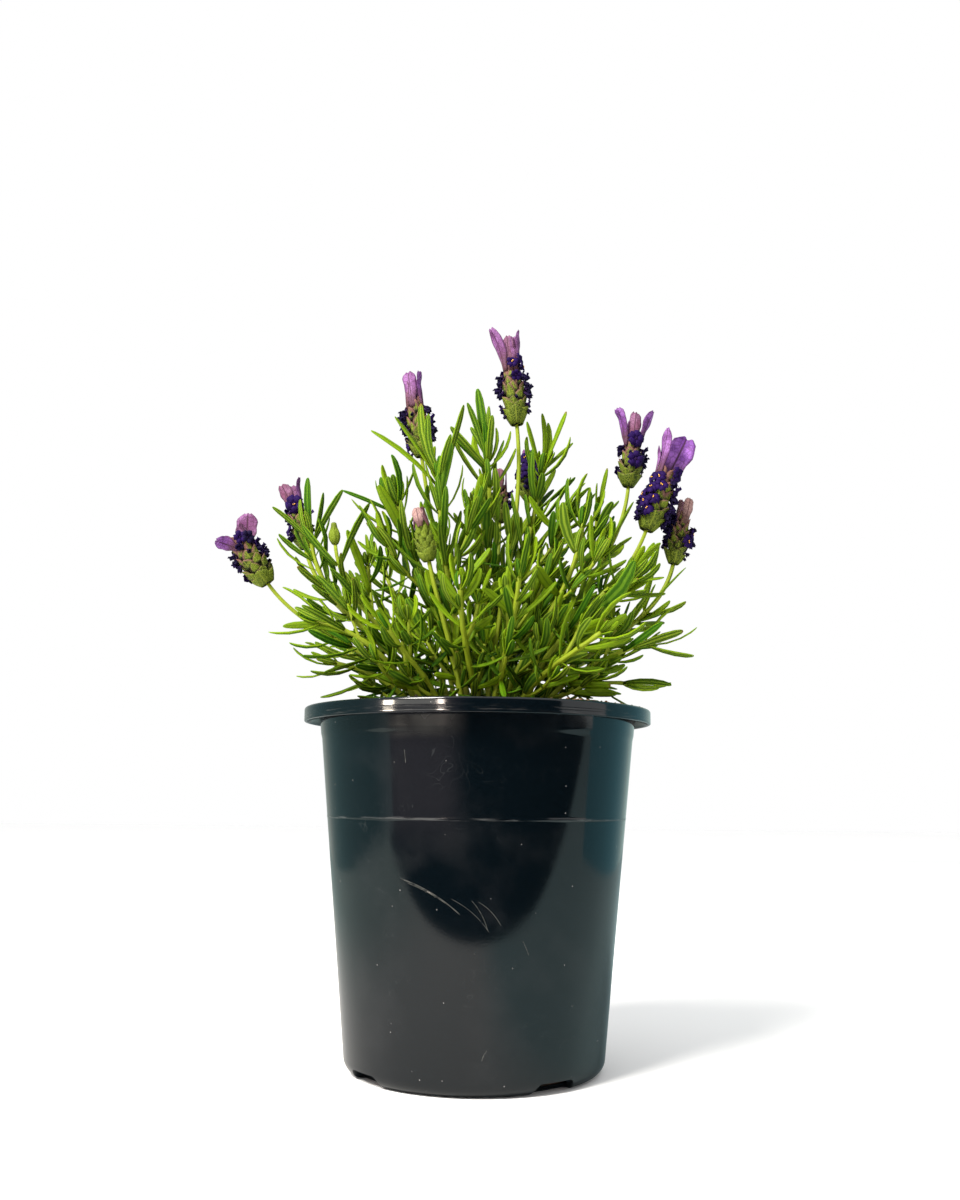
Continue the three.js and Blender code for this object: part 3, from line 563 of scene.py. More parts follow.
def scattered_chips(count):
    """Chips on the mix, where radius goes with the square root of an even draw, so that they lie
    evenly. They are longer than wide, and wider than thick."""
    rng = np.random.default_rng(21)
    radius = CHIP_REACH * np.sqrt(rng.random(count))
    turn = rng.uniform(0, 2 * np.pi, count)
    x, y = radius * np.cos(turn), radius * np.sin(turn)
    length = rng.lognormal(0.5, 0.55, count).clip(*CHIP_LENGTHS)
    sizes = [length, length * rng.uniform(0.4, 0.8, count), length * rng.uniform(0.16, 0.32, count)]
    middles = np.stack([x, y, ground_height(x, y) + CHIP_LIFT], -1)
    return chips_mesh("chips", middles, np.stack(sizes, -1), rng)


def rim_crumbs():
    """Crumbs on the flat top of the rim, most of them at its right."""
    rng = np.random.default_rng(31)
    at_right = rng.normal(*RIGHT_BEARING, RIGHT_CRUMBS)
    bearing = np.radians(np.append(at_right, rng.uniform(-180, 180, OTHER_CRUMBS)))
    radius = rng.uniform(*CRUMB_PLACES, len(bearing))
    length = rng.uniform(*CRUMB_LENGTHS, len(bearing))
    sizes = np.stack([length, 0.7 * length, 0.5 * length], -1)
    height = POT_HEIGHT + 0.42 * length
    middles = np.stack([radius * np.sin(bearing), -radius * np.cos(bearing), height], -1)
    return chips_mesh("crumbs", middles, sizes, rng)


new_piece("bark_chips", scattered_chips(CHIP_COUNT), [CHIPS], "bark_mix")
new_piece("rim_crumbs", rim_crumbs(), [CHIPS], "bark_mix")

# ---------------------------------------------------------------- how the clump grows
# Square green stems leave the mix near the middle of the pot and spread, each with side shoots and
# crossed pairs of leaves. This section settles where everything goes, by the same rule and the same
# draws as the solid model, so that each stem keeps its form.
UP = np.array([0.0, 0.0, 1.0])
FRONT = np.array([0.0, -1.0, 0.0])
STEM_RADII = (1.9, 1.3)  # half the diagonal of the square section, at root and tip
SHOOT_RADII = (1.15, 0.85)
HIP = math.sqrt(0.5)  # from the middle of the square to a face, as a share of its radius
HANDLE = 0.36  # how stiffly a stem keeps its first and last direction
STEM_LEAN = 0.8  # how far a root already leans towards its tip
SHOOT_RISE = (0.75, 0.66)  # a shoot's first direction: along its stem and away from it
SHOOT_AIM = (0.55, 0.35, 0.45)  # and its last: along the stem, away from it and up
LEAF_WIDTH = 3.8
LEAF_GAP = 0.4  # kept clear round stems and leaves
HEAD_GAP = 3
SEAT = 0.3  # from the end of a stem to the foot of its head
OWN_ROOT = 5.5  # near its root a leaf may touch its own stem
RIM_REACH = 22  # over this much of the pot's edge the ground is the rim
OVER_GROUND = 2.5
MOST_BALLS = 60000
FURTHEST = 14  # balls further off than this aren't looked at
BALL_STEP = 2.5  # between the balls of a stem
LEAF_BALLS = 13
TRIES = np.radians([0, 20, -20, 38, -38])

# name, root on the mix, tip, direction at the tip, share with leaves, pairs, leaf length, shoots, roll
STEMS = [
    ("top", (5, -3), (22, -5, 371), (-0.1, 0, 1), 0.6, 4, 31, 1, 20),
    ("upper_left", (-7, 4), (-36, 10, 355), (-0.14, 0, 1), 0.62, 4, 31, 1, 60),
    ("far_left", (-23, -7), (-122, -20, 269), (-0.62, -0.1, 0.85), 0.62, 5, 30, 2, 0),
    ("left_back", (-18, 8), (-108, 27, 300), (-0.25, 0.05, 1), 0.75, 5, 28, 1, 30),
    ("front_young", (-7, -26), (-28, -45, 278), (-0.22, -0.05, 1), 0.42, 2, 27, 2, 70),
    ("left_bud", (-17, -1), (-85, -10, 295), (-0.1, 0, 1), 0.84, 5, 30, 2, 10),
    ("middle_back", (5, 9), (31, 40, 336), (0, 0.05, 1), 0.75, 4, 29, 1, 50),
    ("hidden_back", (-1, 14), (13, 52, 324), (0, 0.1, 1), 0.7, 4, 28, 1, 0),
    ("right_high", (16, 7), (91, 10, 337), (0.1, 0, 1), 0.72, 4, 29, 1, 25),
    ("right_big", (19, -5), (98, -15, 304), (0.37, 0, 1), 0.66, 4, 32, 2, 75),
    ("right_low", (27, 2), (116, 0, 287), (0.22, 0, 1), 0.74, 5, 27, 1, 40),
    ("crown_left", (-5, -12), (-23, -25, 334), (0.05, 0, 1), 1, 6, 35, 2, 15),
    ("shoulder_left", (-11, -4), (-50, -4, 325), (-0.25, 0, 1), 1, 6, 35, 2, 0),
    ("outer_left", (-24, 3), (-100, -5, 301), (-0.05, 0, 1), 1, 6, 32, 1, 30),
    ("crown_middle", (0, 4), (4, -8, 352), (-0.1, 0, 1), 1, 7, 34, 2, 5),
    ("crown_right", (9, 3), (38, 0, 346), (0.15, 0, 1), 1, 7, 34, 2, 20),
    ("bright", (12, -13), (60, -22, 308), (0.05, 0, 1), 1, 6, 30, 2, 45),
    ("shoulder_right", (14, 14), (73, 22, 323), (0.02, 0, 1), 1, 6, 30, 1, 0),
    ("broad_leaves", (20, -14), (74, -32, 266), (0.7, -0.1, 0.7), 1, 5, 38, 1, 80),
    ("sprawl_right", (31, -6), (100, -14, 238), (0.95, 0, 0.3), 1, 5, 32, 2, 20),
    ("rim_right", (30, 9), (90, 20, 217), (1, 0.1, -0.1), 1, 4, 30, 1, 45),
    ("sprawl_left", (-29, -13), (-92, -30, 246), (-0.95, 0, 0.2), 1, 5, 32, 1, 0),
    ("rim_left", (-31, -3), (-84, -12, 224), (-1, -0.1, 0.1), 1, 5, 28, 1, 40),
    ("front_left", (-17, -20), (-50, -52, 240), (-0.5, -0.4, 0.8), 1, 5, 26, 2, 60),
    ("front_middle", (0, -20), (-10, -62, 262), (0, -0.15, 1), 1, 6, 24, 2, 30),
    ("front_right", (8, -27), (22, -56, 268), (0.05, -0.1, 1), 1, 6, 27, 2, 0),
    ("low_front_right", (18, -24), (66, -62, 236), (0.7, -0.4, 0.5), 1, 5, 30, 2, 20),
    ("back_left", (-13, 15), (-62, 56, 296), (-0.3, 0.3, 1), 1, 5, 31, 1, 10),
    ("back_middle", (-4, 24), (-22, 82, 290), (-0.1, 0.4, 1), 1, 5, 31, 1, 50),
    ("back_right", (9, 22), (44, 72, 300), (0.2, 0.4, 1), 1, 5, 31, 1, 80),
    ("low_back_left", (-24, 19), (-86, 66, 242), (-0.7, 0.5, 0.5), 1, 5, 30, 1, 0),
    ("low_back_right", (24, 22), (84, 68, 244), (0.7, 0.5, 0.5), 1, 5, 30, 1, 30),
    ("low_back", (3, 33), (10, 98, 236), (0.1, 0.9, 0.5), 1, 5, 30, 1, 70),
]

# The heads at the ends of stems: spike length and radius, florets in flower, and length of the bracts
# on top. The last is a bud with neither.
HEADS = [
    ("top", 38, 7.6, 9, 18),
    ("upper_left", 36, 7.6, 9, 17),
    ("far_left", 31, 8.4, 10, 16),
    ("left_back", 31, 6.4, 7, 15),
    ("front_young", 25, 6, 0, 8),
    ("middle_back", 28, 6.6, 10, 9),
    ("hidden_back", 25, 5.8, 6, 13),
    ("right_high", 30, 7, 8, 18),
    ("right_big", 36, 8.2, 12, 25),
    ("right_low", 30, 6.4, 7, 11),
    ("left_bud", 12.5, 3.4, 0, 0),
]


def draws(seed):
    """Numbers from 0 to 1, each made from the last: 1664525 times it plus 1013904223, modulo 2^32."""
    state = seed
    while True:
        state = (1664525 * state + 1013904223) % 2**32
        yield state / 2**32


def unit(vector):
    vector = np.asarray(vector, float)
    return vector / np.linalg.norm(vector, axis=-1, keepdims=True)


def square_to(vector, along):
    """The direction of the part of a vector that is square to the other one."""
    return unit(vector - np.sum(vector * along, -1, keepdims=True) * along)


def turned(vector, axis, angle):
    """A vector at right angles to the axis, turned about it: v cos a + (axis x v) sin a."""
    return vector * math.cos(angle) + np.cross(axis, vector) * math.sin(angle)


@dataclass
class Section:
    """A place on a stem: its middle, the stem's direction, two directions across it and its radius."""

    middle: np.ndarray
    along: np.ndarray
    side: np.ndarray
    up: np.ndarray
    radius: np.ndarray

    def face(self, number):
        return (-self.up, self.side, self.up, -self.side)[number]


class Axis:
    """The curved middle line of a stem or shoot."""

    def __init__(self, node, start, rise, aim, end, radii, across):
        self.node = node
        self.length = math.dist(start, end)
        self.radii = radii
        self.across = across
        reach = HANDLE * self.length
        self.knots = (start, start + rise * reach, end - aim * reach, end)

    def point(self, t):
        """A cubic curve: its four knots weighted (1-t)^3, 3 (1-t)^2 t, 3 (1-t) t^2 and t^3."""
        t = np.asarray(t, float)[..., None]
        s = 1 - t
        a, b, c, d = self.knots
        return s**3 * a + 3 * s**2 * t * b + 3 * s * t**2 * c + t**3 * d

    def radius(self, t):
        return self.radii[0] + (self.radii[1] - self.radii[0]) * t

    def section(self, t):
        """The direction runs from just before t to just after it. The side is the part of the stem's
        across vector that is square to it."""
        t = np.asarray(t, float)
        step = 0.0001
        along = unit(self.point(np.minimum(t + step, 1)) - self.point(np.maximum(t - step, 0)))
        side = square_to(self.across, along)
        return Section(self.point(t), along, side, np.cross(along, side), self.radius(t))

    def way_out(self, share, face, turn):
        """Where a face lies at this share of the axis, the direction there, and the direction away from
        the face, swung round the axis by the turn."""
        section = self.section(share)
        normal = section.face(face)
        start = section.middle + normal * section.radius * HIP
        return start, section.along, turned(normal, section.along, turn)


def stem_axis(name, root, tip, aim, roll):
    start = np.array([*root, MIX_TOP], float)
    end = np.array(tip, float)
    towards = unit(end - start)
    level = unit((-towards[1], towards[0], 0))
    across = turned(level, UP, -math.radians(roll))
    return Axis(name, start, unit(UP + STEM_LEAN * towards), unit(aim), end, STEM_RADII, across)


def shoot_axis(parent, share, face, turn, length):
    """A side shoot leaves a face of its stem at a slant and turns upwards."""
    start, along, out = parent.way_out(share, face, turn)
    rise = unit(SHOOT_RISE[0] * along + SHOOT_RISE[1] * out)
    aim = unit(SHOOT_AIM[0] * along + SHOOT_AIM[1] * out + SHOOT_AIM[2] * UP)
    end = start + rise * 0.5 * length + aim * 0.5 * length
    return Axis(parent.node, start, rise, aim, end, SHOOT_RADII, np.cross(along, out))


@dataclass
class Leaf:
    """A leaf starts at its point, runs along its direction and bends on an arc towards its face, the
    upper side. Age is 0 for a young leaf and 1 for an old one."""

    node: str
    point: np.ndarray
    direction: np.ndarray
    face: np.ndarray
    length: float
    bend: float
    width: float
    age: float

    def at(self, t):
        """On an arc of b radians: L sin(b t) / b along the leaf and L (1 - cos(b t)) / b off it."""
        angle = self.bend * np.asarray(t, float)[..., None]
        reach = self.length / self.bend
        return self.point + self.direction * reach * np.sin(angle) + self.face * reach * (1 - np.cos(angle))


def leaf_at(axis, share, face, turn, slant, *shape):
    """A leaf on a face of a stem: slant opens it from the stem, turn swings it round the stem."""
    start, along, out = axis.way_out(share, face, turn)
    direction = along * math.cos(slant) + out * math.sin(slant)
    upper = along * math.sin(slant) - out * math.cos(slant)
    return Leaf(axis.node, start, direction, upper, *shape)


class Room:
    """The balls that fill every stem, leaf and head so far. A new piece has to miss them."""

    def __init__(self):
        self.middles = np.zeros((MOST_BALLS, 3))
        self.radii = np.zeros(MOST_BALLS)
        self.owners = np.full(MOST_BALLS, "", object)
        self.count = 0

    def fill(self, node, middles, radii):
        fresh = slice(self.count, self.count + len(middles))
        self.middles[fresh] = middles
        self.radii[fresh] = radii
        self.owners[fresh] = node
        self.count += len(middles)

    def is_clear(self, node, middles, radii, squeeze):
        """True where the balls miss all others, or near their root all but their own stem's. They may
        come nearer to the rest of their own stem, by the factor squeeze."""
        near_root = np.linalg.norm(middles - middles[0], axis=1) < OWN_ROOT
        over_rim = np.hypot(middles[:, 0], middles[:, 1]) > RIM_RADIUS - RIM_REACH
        ground = np.where(over_rim, POT_HEIGHT, MIX_TOP) + OVER_GROUND
        if np.any(~near_root & (middles[:, 2] < ground)):
            return False
        known = self.middles[: self.count]
        inside = (known > middles.min(0) - FURTHEST) & (known < middles.max(0) + FURTHEST)
        close = np.all(inside, axis=1)
        apart = np.linalg.norm(known[close][:, None] - middles, axis=2)
        needed = self.radii[: self.count][close][:, None] + radii
        own = (self.owners[: self.count][close] == node)[:, None]
        needed = np.where(own, squeeze * needed, needed)
        return not np.any((apart <= needed) & ~(own & near_root))


def axis_balls(axis):
    t = np.linspace(0, 1, math.ceil(axis.length / BALL_STEP) + 1)
    return axis.point(t), axis.radius(t) + LEAF_GAP


def leaf_balls(leaf):
    """As wide as the leaf, less near its foot and much less near its tip."""
    t = np.linspace(0, 1, LEAF_BALLS)
    wide = np.minimum(1, np.minimum(0.6 + t, 0.4 + 3 * (1 - t)))
    return leaf.at(t), 0.5 * leaf.width * wide + LEAF_GAP


room = Room()


def first_clear(turns, make, balls_of, squeeze=1):
    """The piece at the first of these turns where it is clear of the rest, or nothing."""
    for turn in turns:
        piece = make(turn)
        balls = balls_of(piece)
        if room.is_clear(piece.node, *balls, squeeze):
            room.fill(piece.node, *balls)
            return piece
    return None


# Leaves in pairs: angles in degrees, and length and width as shares of the stem's own.
CROWDING = 0.78  # under 1, the pairs stand closer towards the end
PAIR_SLANT = (53, 63)  # from the stem
STEEPER = 32  # less at the end of the stem
PAIR_BEND = (-38, -8)
STRAIGHTER = 30  # more at the end of the stem
NOT_FLAT = 0.02  # radians, since an arc needs some bend
PAIR_SIZE = (0.88, 1.12)
PAIR_WIDTH = (0.85, 1.2)
PAIR_SWING = (-8, 8)
TURN_SHORTER = 0.2  # for each radian that a leaf has to turn aside


def drawn(random, low, high):
    return low + (high - low) * next(random)


def plan_leaves(axis, first, last, pairs, length, random):
    """Crossed pairs along an axis, closer and steeper towards its end and longest a little before its
    middle, by a sine. Gives each pair's share of the axis and the leaves that found room, by face."""
    stations = []
    for pair in range(pairs):
        rise = pair / max(1, pairs - 1)
        share = first + (last - first) * rise**CROWDING
        slant = math.radians(drawn(random, *PAIR_SLANT) - STEEPER * rise * last)
        longest = 0.72 + 0.4 * math.sin(math.pi * (0.25 + 0.6 * rise))
        size = length * longest * drawn(random, *PAIR_SIZE)
        bend = math.radians(drawn(random, *PAIR_BEND) + STRAIGHTER * rise) + NOT_FLAT
        width = LEAF_WIDTH * drawn(random, *PAIR_WIDTH)
        grown = {}
        for face in (pair % 2, pair % 2 + 2):
            swing = math.radians(drawn(random, *PAIR_SWING))

            def swung(turn):
                shorter = size * (1 - TURN_SHORTER * abs(turn))
                return leaf_at(axis, share, face, swing + turn, slant, shorter, bend, width, 1 - rise)

            leaf = first_clear(TRIES, swung, leaf_balls)
            if leaf:
                grown[face] = leaf
        stations.append((share, grown))
    return stations


SHOOT_OVER = 2.97  # from a pair of leaves to the shoot over it
SHOOT_LENGTH = (0.3, 0.12)  # of its stem at the root, and how much less at the tip
SHOOT_SPREAD = (0, 6)
SHOOT_LEAFY = (0.3, 0.94, 3)  # the shares of its first and last pair, and how many pairs
SHOOT_LEAF = 0.72  # of the length of its stem's leaves


def plan_shoots(axis, stations, shoots, leaf_length, random):
    """Side shoots just over every second pair, each on the first face that has room for it."""
    grown = []
    for number, (share, _) in enumerate(stations[:-1:2][:shoots]):
        above = share + SHOOT_OVER / axis.length
        length = axis.length * (SHOOT_LENGTH[0] - SHOOT_LENGTH[1] * share)
        length += drawn(random, *SHOOT_SPREAD)
        for face in (2, 0) if number % 2 else (0, 2):
            shoot = first_clear(TRIES, lambda turn: shoot_axis(axis, above, face, turn, length), axis_balls)
            if shoot:
                leaves = plan_leaves(shoot, *SHOOT_LEAFY, SHOOT_LEAF * leaf_length, random)
                grown.append((shoot, leaves))
                break
    return grown


HEAD_START = 2  # a head's room starts this far over its foot
HEAD_BALLS = 11
stem_axes = {row[0]: stem_axis(*row[:4], row[8]) for row in STEMS}
for stem in stem_axes.values():
    room.fill(stem.node, *axis_balls(stem))
for name, length, girth, _, tuft in HEADS:
    end = stem_axes[name].section(1)
    t = np.linspace(0, 1, HEAD_BALLS)[:, None]
    middles = end.middle + end.along * (SEAT + HEAD_START + (length + tuft) * t)
    room.fill("head_" + name, middles, np.full(HEAD_BALLS, girth + HEAD_GAP))

# Each stem's leafy axes: the stem itself first, then its shoots, each with its pairs of leaves.
FIRST_PAIR = 0.22
LAST_PAIR = 0.965  # of a stem with leaves to its end
FIRST_SEED = 13
SEED_STEP = 977
growth = {}
for index, (name, _, _, _, leafy, pairs, leaf_length, shoots, _) in enumerate(STEMS):
    random = draws(index * SEED_STEP + FIRST_SEED)
    last = LAST_PAIR if leafy == 1 else leafy
    stations = plan_leaves(stem_axes[name], FIRST_PAIR, last, pairs, leaf_length, random)
    side_shoots = plan_shoots(stem_axes[name], stations, shoots, leaf_length, random)
    growth[name] = [(stem_axes[name], stations), *side_shoots]

# ---------------------------------------------------------------- small leaves
# In every axil sit a few small young leaves, every leafy end carries a tuft of them, and short leaves
# crowd the foot of each stem. They are placed in what room is left, a little nearer to each other.
SMALL_WIDTH = 3.4
SMALL_FULL = 18  # a leaf shorter than this is narrower too
SMALL_TRIES = np.radians([0, 25, -25, 50, -50])
SMALL_SQUEEZE = 0.45
SMALL_BALLS = 7
SMALL_BEND = (-10, 62)


@dataclass
class Habit:
    """How one kind of small leaf grows. Each pair of numbers is the least and the most: the length as a
    share of the stem's own leaves, the slant from the stem in degrees, its place, and how young it is."""

    size: tuple
    slant: tuple
    place: tuple
    young: tuple


# The place is in mm over a leaf's pair, or a share: down from the end, up from the mix, or of the way
# from one pair to the next.
AXIL = Habit(size=(0.3, 0.72), slant=(14, 46), place=(0.2, 1.6), young=(0.3, 0.8))
END = Habit(size=(0.66, 1.0), slant=(6, 26), place=(0, 0.035), young=(0.7, 1))
FOOT = Habit(size=(0.3, 0.75), slant=(30, 70), place=(0.06, 0.36), young=(0, 0.4))
BETWEEN = Habit(size=(0.6, 1.0), slant=(22, 48), place=(0.35, 0.7), young=(0, 0.6))
END_SHORT = (0.25, 0.48)  # the size of the last three leaves of a tuft
AXIL_SWING = math.radians(40)  # either way round the stem
FOOT_SWING = math.radians(45)
BETWEEN_SWING = 0.4
END_TURN = 0.3  # from each leaf of a tuft to the next


def few_balls(leaf):
    """Narrower than the leaf, and more so near its tip."""
    t = np.linspace(0, 1, SMALL_BALLS)
    return leaf.at(t), 0.42 * leaf.width * np.minimum(1, 1.6 - t)


def small_leaf(axis, share, face, length, slant, swing, young, rng):
    """A small leaf at the first clear turn near the swing, or nothing."""
    young = rng.uniform(*young)
    bend = math.radians(rng.uniform(*SMALL_BEND)) + 0.013
    width = SMALL_WIDTH * rng.uniform(0.85, 1.35) * (0.66 + 0.34 * min(1, length / SMALL_FULL))

    def swung(turn):
        return leaf_at(axis, share, face, turn, math.radians(slant), length, bend, width, 1 - young)

    return first_clear(swing + SMALL_TRIES, swung, few_balls, SMALL_SQUEEZE)


def axil_leaves(axis, stations, length, share_grown, rng):
    """Young leaves on this share of the faces at each pair, beside the pair's own."""
    for share, _ in stations:
        for face in range(4):
            if rng.random() < share_grown:
                size = length * rng.uniform(*AXIL.size)
                slant = rng.uniform(*AXIL.slant)
                swing = rng.uniform(-AXIL_SWING, AXIL_SWING)
                above = min(1, share + rng.uniform(*AXIL.place) / axis.length)
                yield small_leaf(axis, above, face, size, slant, swing, AXIL.young, rng)


def end_tuft(axis, length, count, rng):
    """The youngest leaves, close about the growing point: some long, the last three short."""
    for number in range(count):
        size = length * rng.uniform(*(END.size if number < count - 3 else END_SHORT))
        slant = rng.uniform(*END.slant)
        share = 1 - rng.uniform(*END.place)
        yield small_leaf(axis, share, number % 4, size, slant, END_TURN * number, END.young, rng)


def foot_leaves(axis, length, count, rng):
    """Short leaves near the foot of a stem, where it leaves the mix."""
    for _ in range(count):
        size = length * rng.uniform(*FOOT.size)
        slant = rng.uniform(*FOOT.slant)
        face = int(rng.integers(0, 4))
        swing = rng.uniform(-FOOT_SWING, FOOT_SWING)
        share = rng.uniform(*FOOT.place)
        yield small_leaf(axis, share, face, size, slant, swing, FOOT.young, rng)


def between_leaves(axis, stations, length, rng):
    """Middle-sized leaves on two of the faces, about half-way between two pairs."""
    for (low, _), (high, _) in zip(stations, stations[1:]):
        for face in rng.permutation(4)[:2]:
            share = low + (high - low) * rng.uniform(*BETWEEN.place)
            size = length * rng.uniform(*BETWEEN.size)
            slant = rng.uniform(*BETWEEN.slant)
            swing = rng.uniform(-BETWEEN_SWING, BETWEEN_SWING)
            yield small_leaf(axis, share, face, size, slant, swing, BETWEEN.young, rng)


# ---------------------------------------------------------------- leaves that stand out
# Long leaves that show against the sky or lie over the clump. Where each tip shows in the photograph
# was read, and how far forward or back it is, along Y, was judged.
# For each stem, the leaf's shoot (0 is the stem itself), share of that axis, the column and row of
# its tip in pixels with the depth in mm, width in mm, bend in degrees, and the side facing the photo:
# 1 the upper side, -1 the underside, 0 half turned, or in between.
TALL_LEAVES = {
    "crown_left": [
        (0, 0.99, (421.5, 403.3, -30), 4.9, 8, 0), (0, 0.98, (464, 404.8, -20), 3.9, -6, 0),
        (0, 0.97, (395, 417, -30), 3.6, -10, 0.3), (0, 1, (428, 413, -38), 3.4, 4, 0),
        (0, 0.91, (451, 442.6, -34), 6.0, 10, -1), (0, 0.95, (370, 430, -28), 3.4, -24, 0.4),
    ],
    "crown_middle": [
        (0, 0.95, (450, 427, -12), 3.8, -8, 0), (0, 0.96, (478, 388, -12), 4.6, 6, -0.6),
        (0, 0.98, (467, 403, -18), 3.0, -6, 0), (0, 0.99, (489, 406, 2), 2.6, 3, 0),
        (0, 0.99, (470.6, 427, -2), 3.2, -10, 0), (0, 0.95, (511, 431.6, -14), 2.6, 34, 0),
        (0, 0.68, (464, 509, -20), 3.8, 6, 0.8), (0, 0.64, (488, 507, -14), 4.6, 4, -1),
    ],
    "crown_right": [
        (0, 0.99, (566.7, 410.5, -4), 4.3, -6, 0.3), (0, 1, (542.6, 412.7, 6), 2.9, 3, 0),
        (0, 1, (548, 423, 12), 3.0, -3, 0), (0, 0.98, (527.4, 421.4, -8), 3.2, -6, 0),
        (0, 0.99, (573, 443, 8), 2.7, 8, 0), (2, 0.9, (529.6, 496, -18), 3.5, -8, 0.8),
    ],
    "bright": [
        (0, 0.64, (538, 567, -36), 5.2, -10, 1), (0, 0.85, (563, 502.6, -28), 5.2, -14, -1),
        (2, 0.96, (591, 515, -34), 2.6, 10, 0),
    ],
    "broad_leaves": [
        (0, 0.8, (635, 560, -46), 6.6, 10, -1), (0, 0.68, (605, 619.5, -50), 4.4, -6, 1),
        (0, 0.93, (638, 578, -36), 3.4, 8, 0.5),
    ],
    "low_front_right": [(0, 0.5, (587, 652, -50), 5.0, 36, -1), (0, 0.93, (627, 615, -62), 3.4, 14, 0.4)],
    "front_young": [
        (0, 0.48, (492.5, 617, -52), 3.8, 26, 1), (0, 0.28, (434, 675, -40), 3.4, 16, 1),
        (1, 0.76, (397.5, 622.7, -34), 3.8, 40, 0.5), (1, 1, (406, 598.7, -32), 4.6, 10, -1),
    ],
    "front_middle": [
        (0, 0.9, (438, 570, -62), 4.0, 14, 1), (0, 0.9, (481.5, 568, -66), 4.0, 24, 1),
        (0, 1, (490, 548, -62), 3.2, 12, 0.5), (0, 0.26, (506.6, 669.6, -46), 3.2, 20, 1),
    ],
    "front_right": [(0, 0.75, (484, 588, -60), 3.8, -4, 1)],
    "front_left": [(1, 0.52, (393, 682, -38), 3.2, 4, 1)],
    "sprawl_right": [
        (0, 0.39, (611, 686, -18), 4.2, -8, 1), (1, 0.44, (617, 694.2, -22), 3.0, -6, 1),
        (0, 0.88, (684, 630, -18), 3.4, 14, 0.4), (0, 0.56, (620, 657, -16), 4.0, 10, 1),
    ],
    "outer_left": [
        (0, 0.99, (308, 478, -7), 2.8, 3, 0), (0, 0.96, (324, 492, -3), 2.4, -8, 0),
        (0, 0.98, (272, 506, -10), 1.9, -14, 0), (0, 0.89, (278, 534, -8), 2.3, 16, 0),
        (0, 0.97, (342, 490, -6), 2.4, -12, 0), (0, 0.87, (303, 536, -4), 2.1, 10, 0),
    ],
    "left_bud": [
        (0, 0.9, (303, 526, -14), 3.2, 20, 0), (0, 0.9, (369, 502, -14), 2.8, 10, 0),
        (2, 0.44, (347, 529, -12), 3.4, 8, 0.6), (0, 0.65, (344, 572, -12), 2.8, 14, 0),
    ],
    "far_left": [(2, 0.88, (317, 575, -14), 3.7, 16, -1), (0, 0.54, (325, 628, -16), 2.8, 14, 0)],
    "sprawl_left": [(0, 0.93, (294, 607, -32), 2.8, 16, 0), (0, 0.81, (283, 626, -34), 2.8, 12, 1)],
    "shoulder_left": [
        (0, 0.93, (342, 490, -8), 1.6, 18, 0), (0, 0.8, (379, 484, -14), 5.4, -8, 1),
        (0, 0.78, (367, 522, -10), 2.8, 16, 0),
    ],
    "shoulder_right": [
        (0, 0.99, (598, 483, 20), 2.2, 3, 0), (0, 0.98, (607, 468, 18), 2.9, -6, 0),
        (0, 0.93, (612, 501, 16), 3.4, 8, -1),
    ],
    "right_high": [(0, 0.72, (634, 501, 8), 3.4, 6, 0)],
    "right_big": [
        (2, 0.94, (661, 542, -30), 2.7, 12, 0), (2, 0.7, (653, 573, -30), 4.0, 14, 0),
        (2, 0.98, (654, 542, -26), 2.1, 3, 0),
    ],
    "right_low": [
        (0, 0.74, (660, 544, -6), 2.2, 3, 0), (0, 0.74, (686, 568, -4), 2.1, 10, 0),
        (0, 0.69, (670, 601, -4), 3.4, 16, 0),
    ],
}
HALF_TURNED = 0.5
TALL_FULL = 1.18  # of the width read
TALL_AGE = 0.35

# Thin leaves of these stems are drawn wider than they were read, as they look fuller.
THIN = 3.6
FULLER = 1.32
FULLEST = 4.2
FULLER_STEMS = (
    "outer_left", "left_bud", "far_left", "sprawl_left", "shoulder_left", "shoulder_right", "right_high",
    "right_big", "right_low", "sprawl_right", "low_front_right",
)

# The camera that took the photograph, fitted to the pot's rim, wall and floor.
PHOTO_WIDTH = 960
PHOTO_HEIGHT = 1200
CAMERA_PLACE = (0.765, -685.25, 146)
CAMERA_TILT = 9.758  # degrees above the level
CAMERA_ROLL = 0.568  # degrees, the right side of the picture lower
CAMERA_LENS = 35.12
CAMERA_SENSOR = 36  # as high as the picture


def camera_directions():
    """To the right and up in the picture, and ahead: level and upright ones, turned by the roll."""
    tilt, roll = math.radians(CAMERA_TILT), math.radians(CAMERA_ROLL)
    ahead = np.array([0, math.cos(tilt), math.sin(tilt)])
    level = np.array([1.0, 0, 0])
    upright = np.cross(level, ahead)
    right = math.cos(roll) * level + math.sin(roll) * upright
    up = math.cos(roll) * upright - math.sin(roll) * level
    return right, up, ahead


def seen_at(column, row, depth):
    """What shows at a pixel of the photograph lies on a line from the camera. Gives that line's place at
    this depth along Y, in whole millimetres, as the depth is judged no finer."""
    right, up, ahead = camera_directions()
    aside = (column - PHOTO_WIDTH / 2) * right - (row - PHOTO_HEIGHT / 2) * up
    line = ahead + aside * CAMERA_SENSOR / (CAMERA_LENS * PHOTO_HEIGHT)
    return np.round(CAMERA_PLACE + line * (depth - CAMERA_PLACE[1]) / line[1])


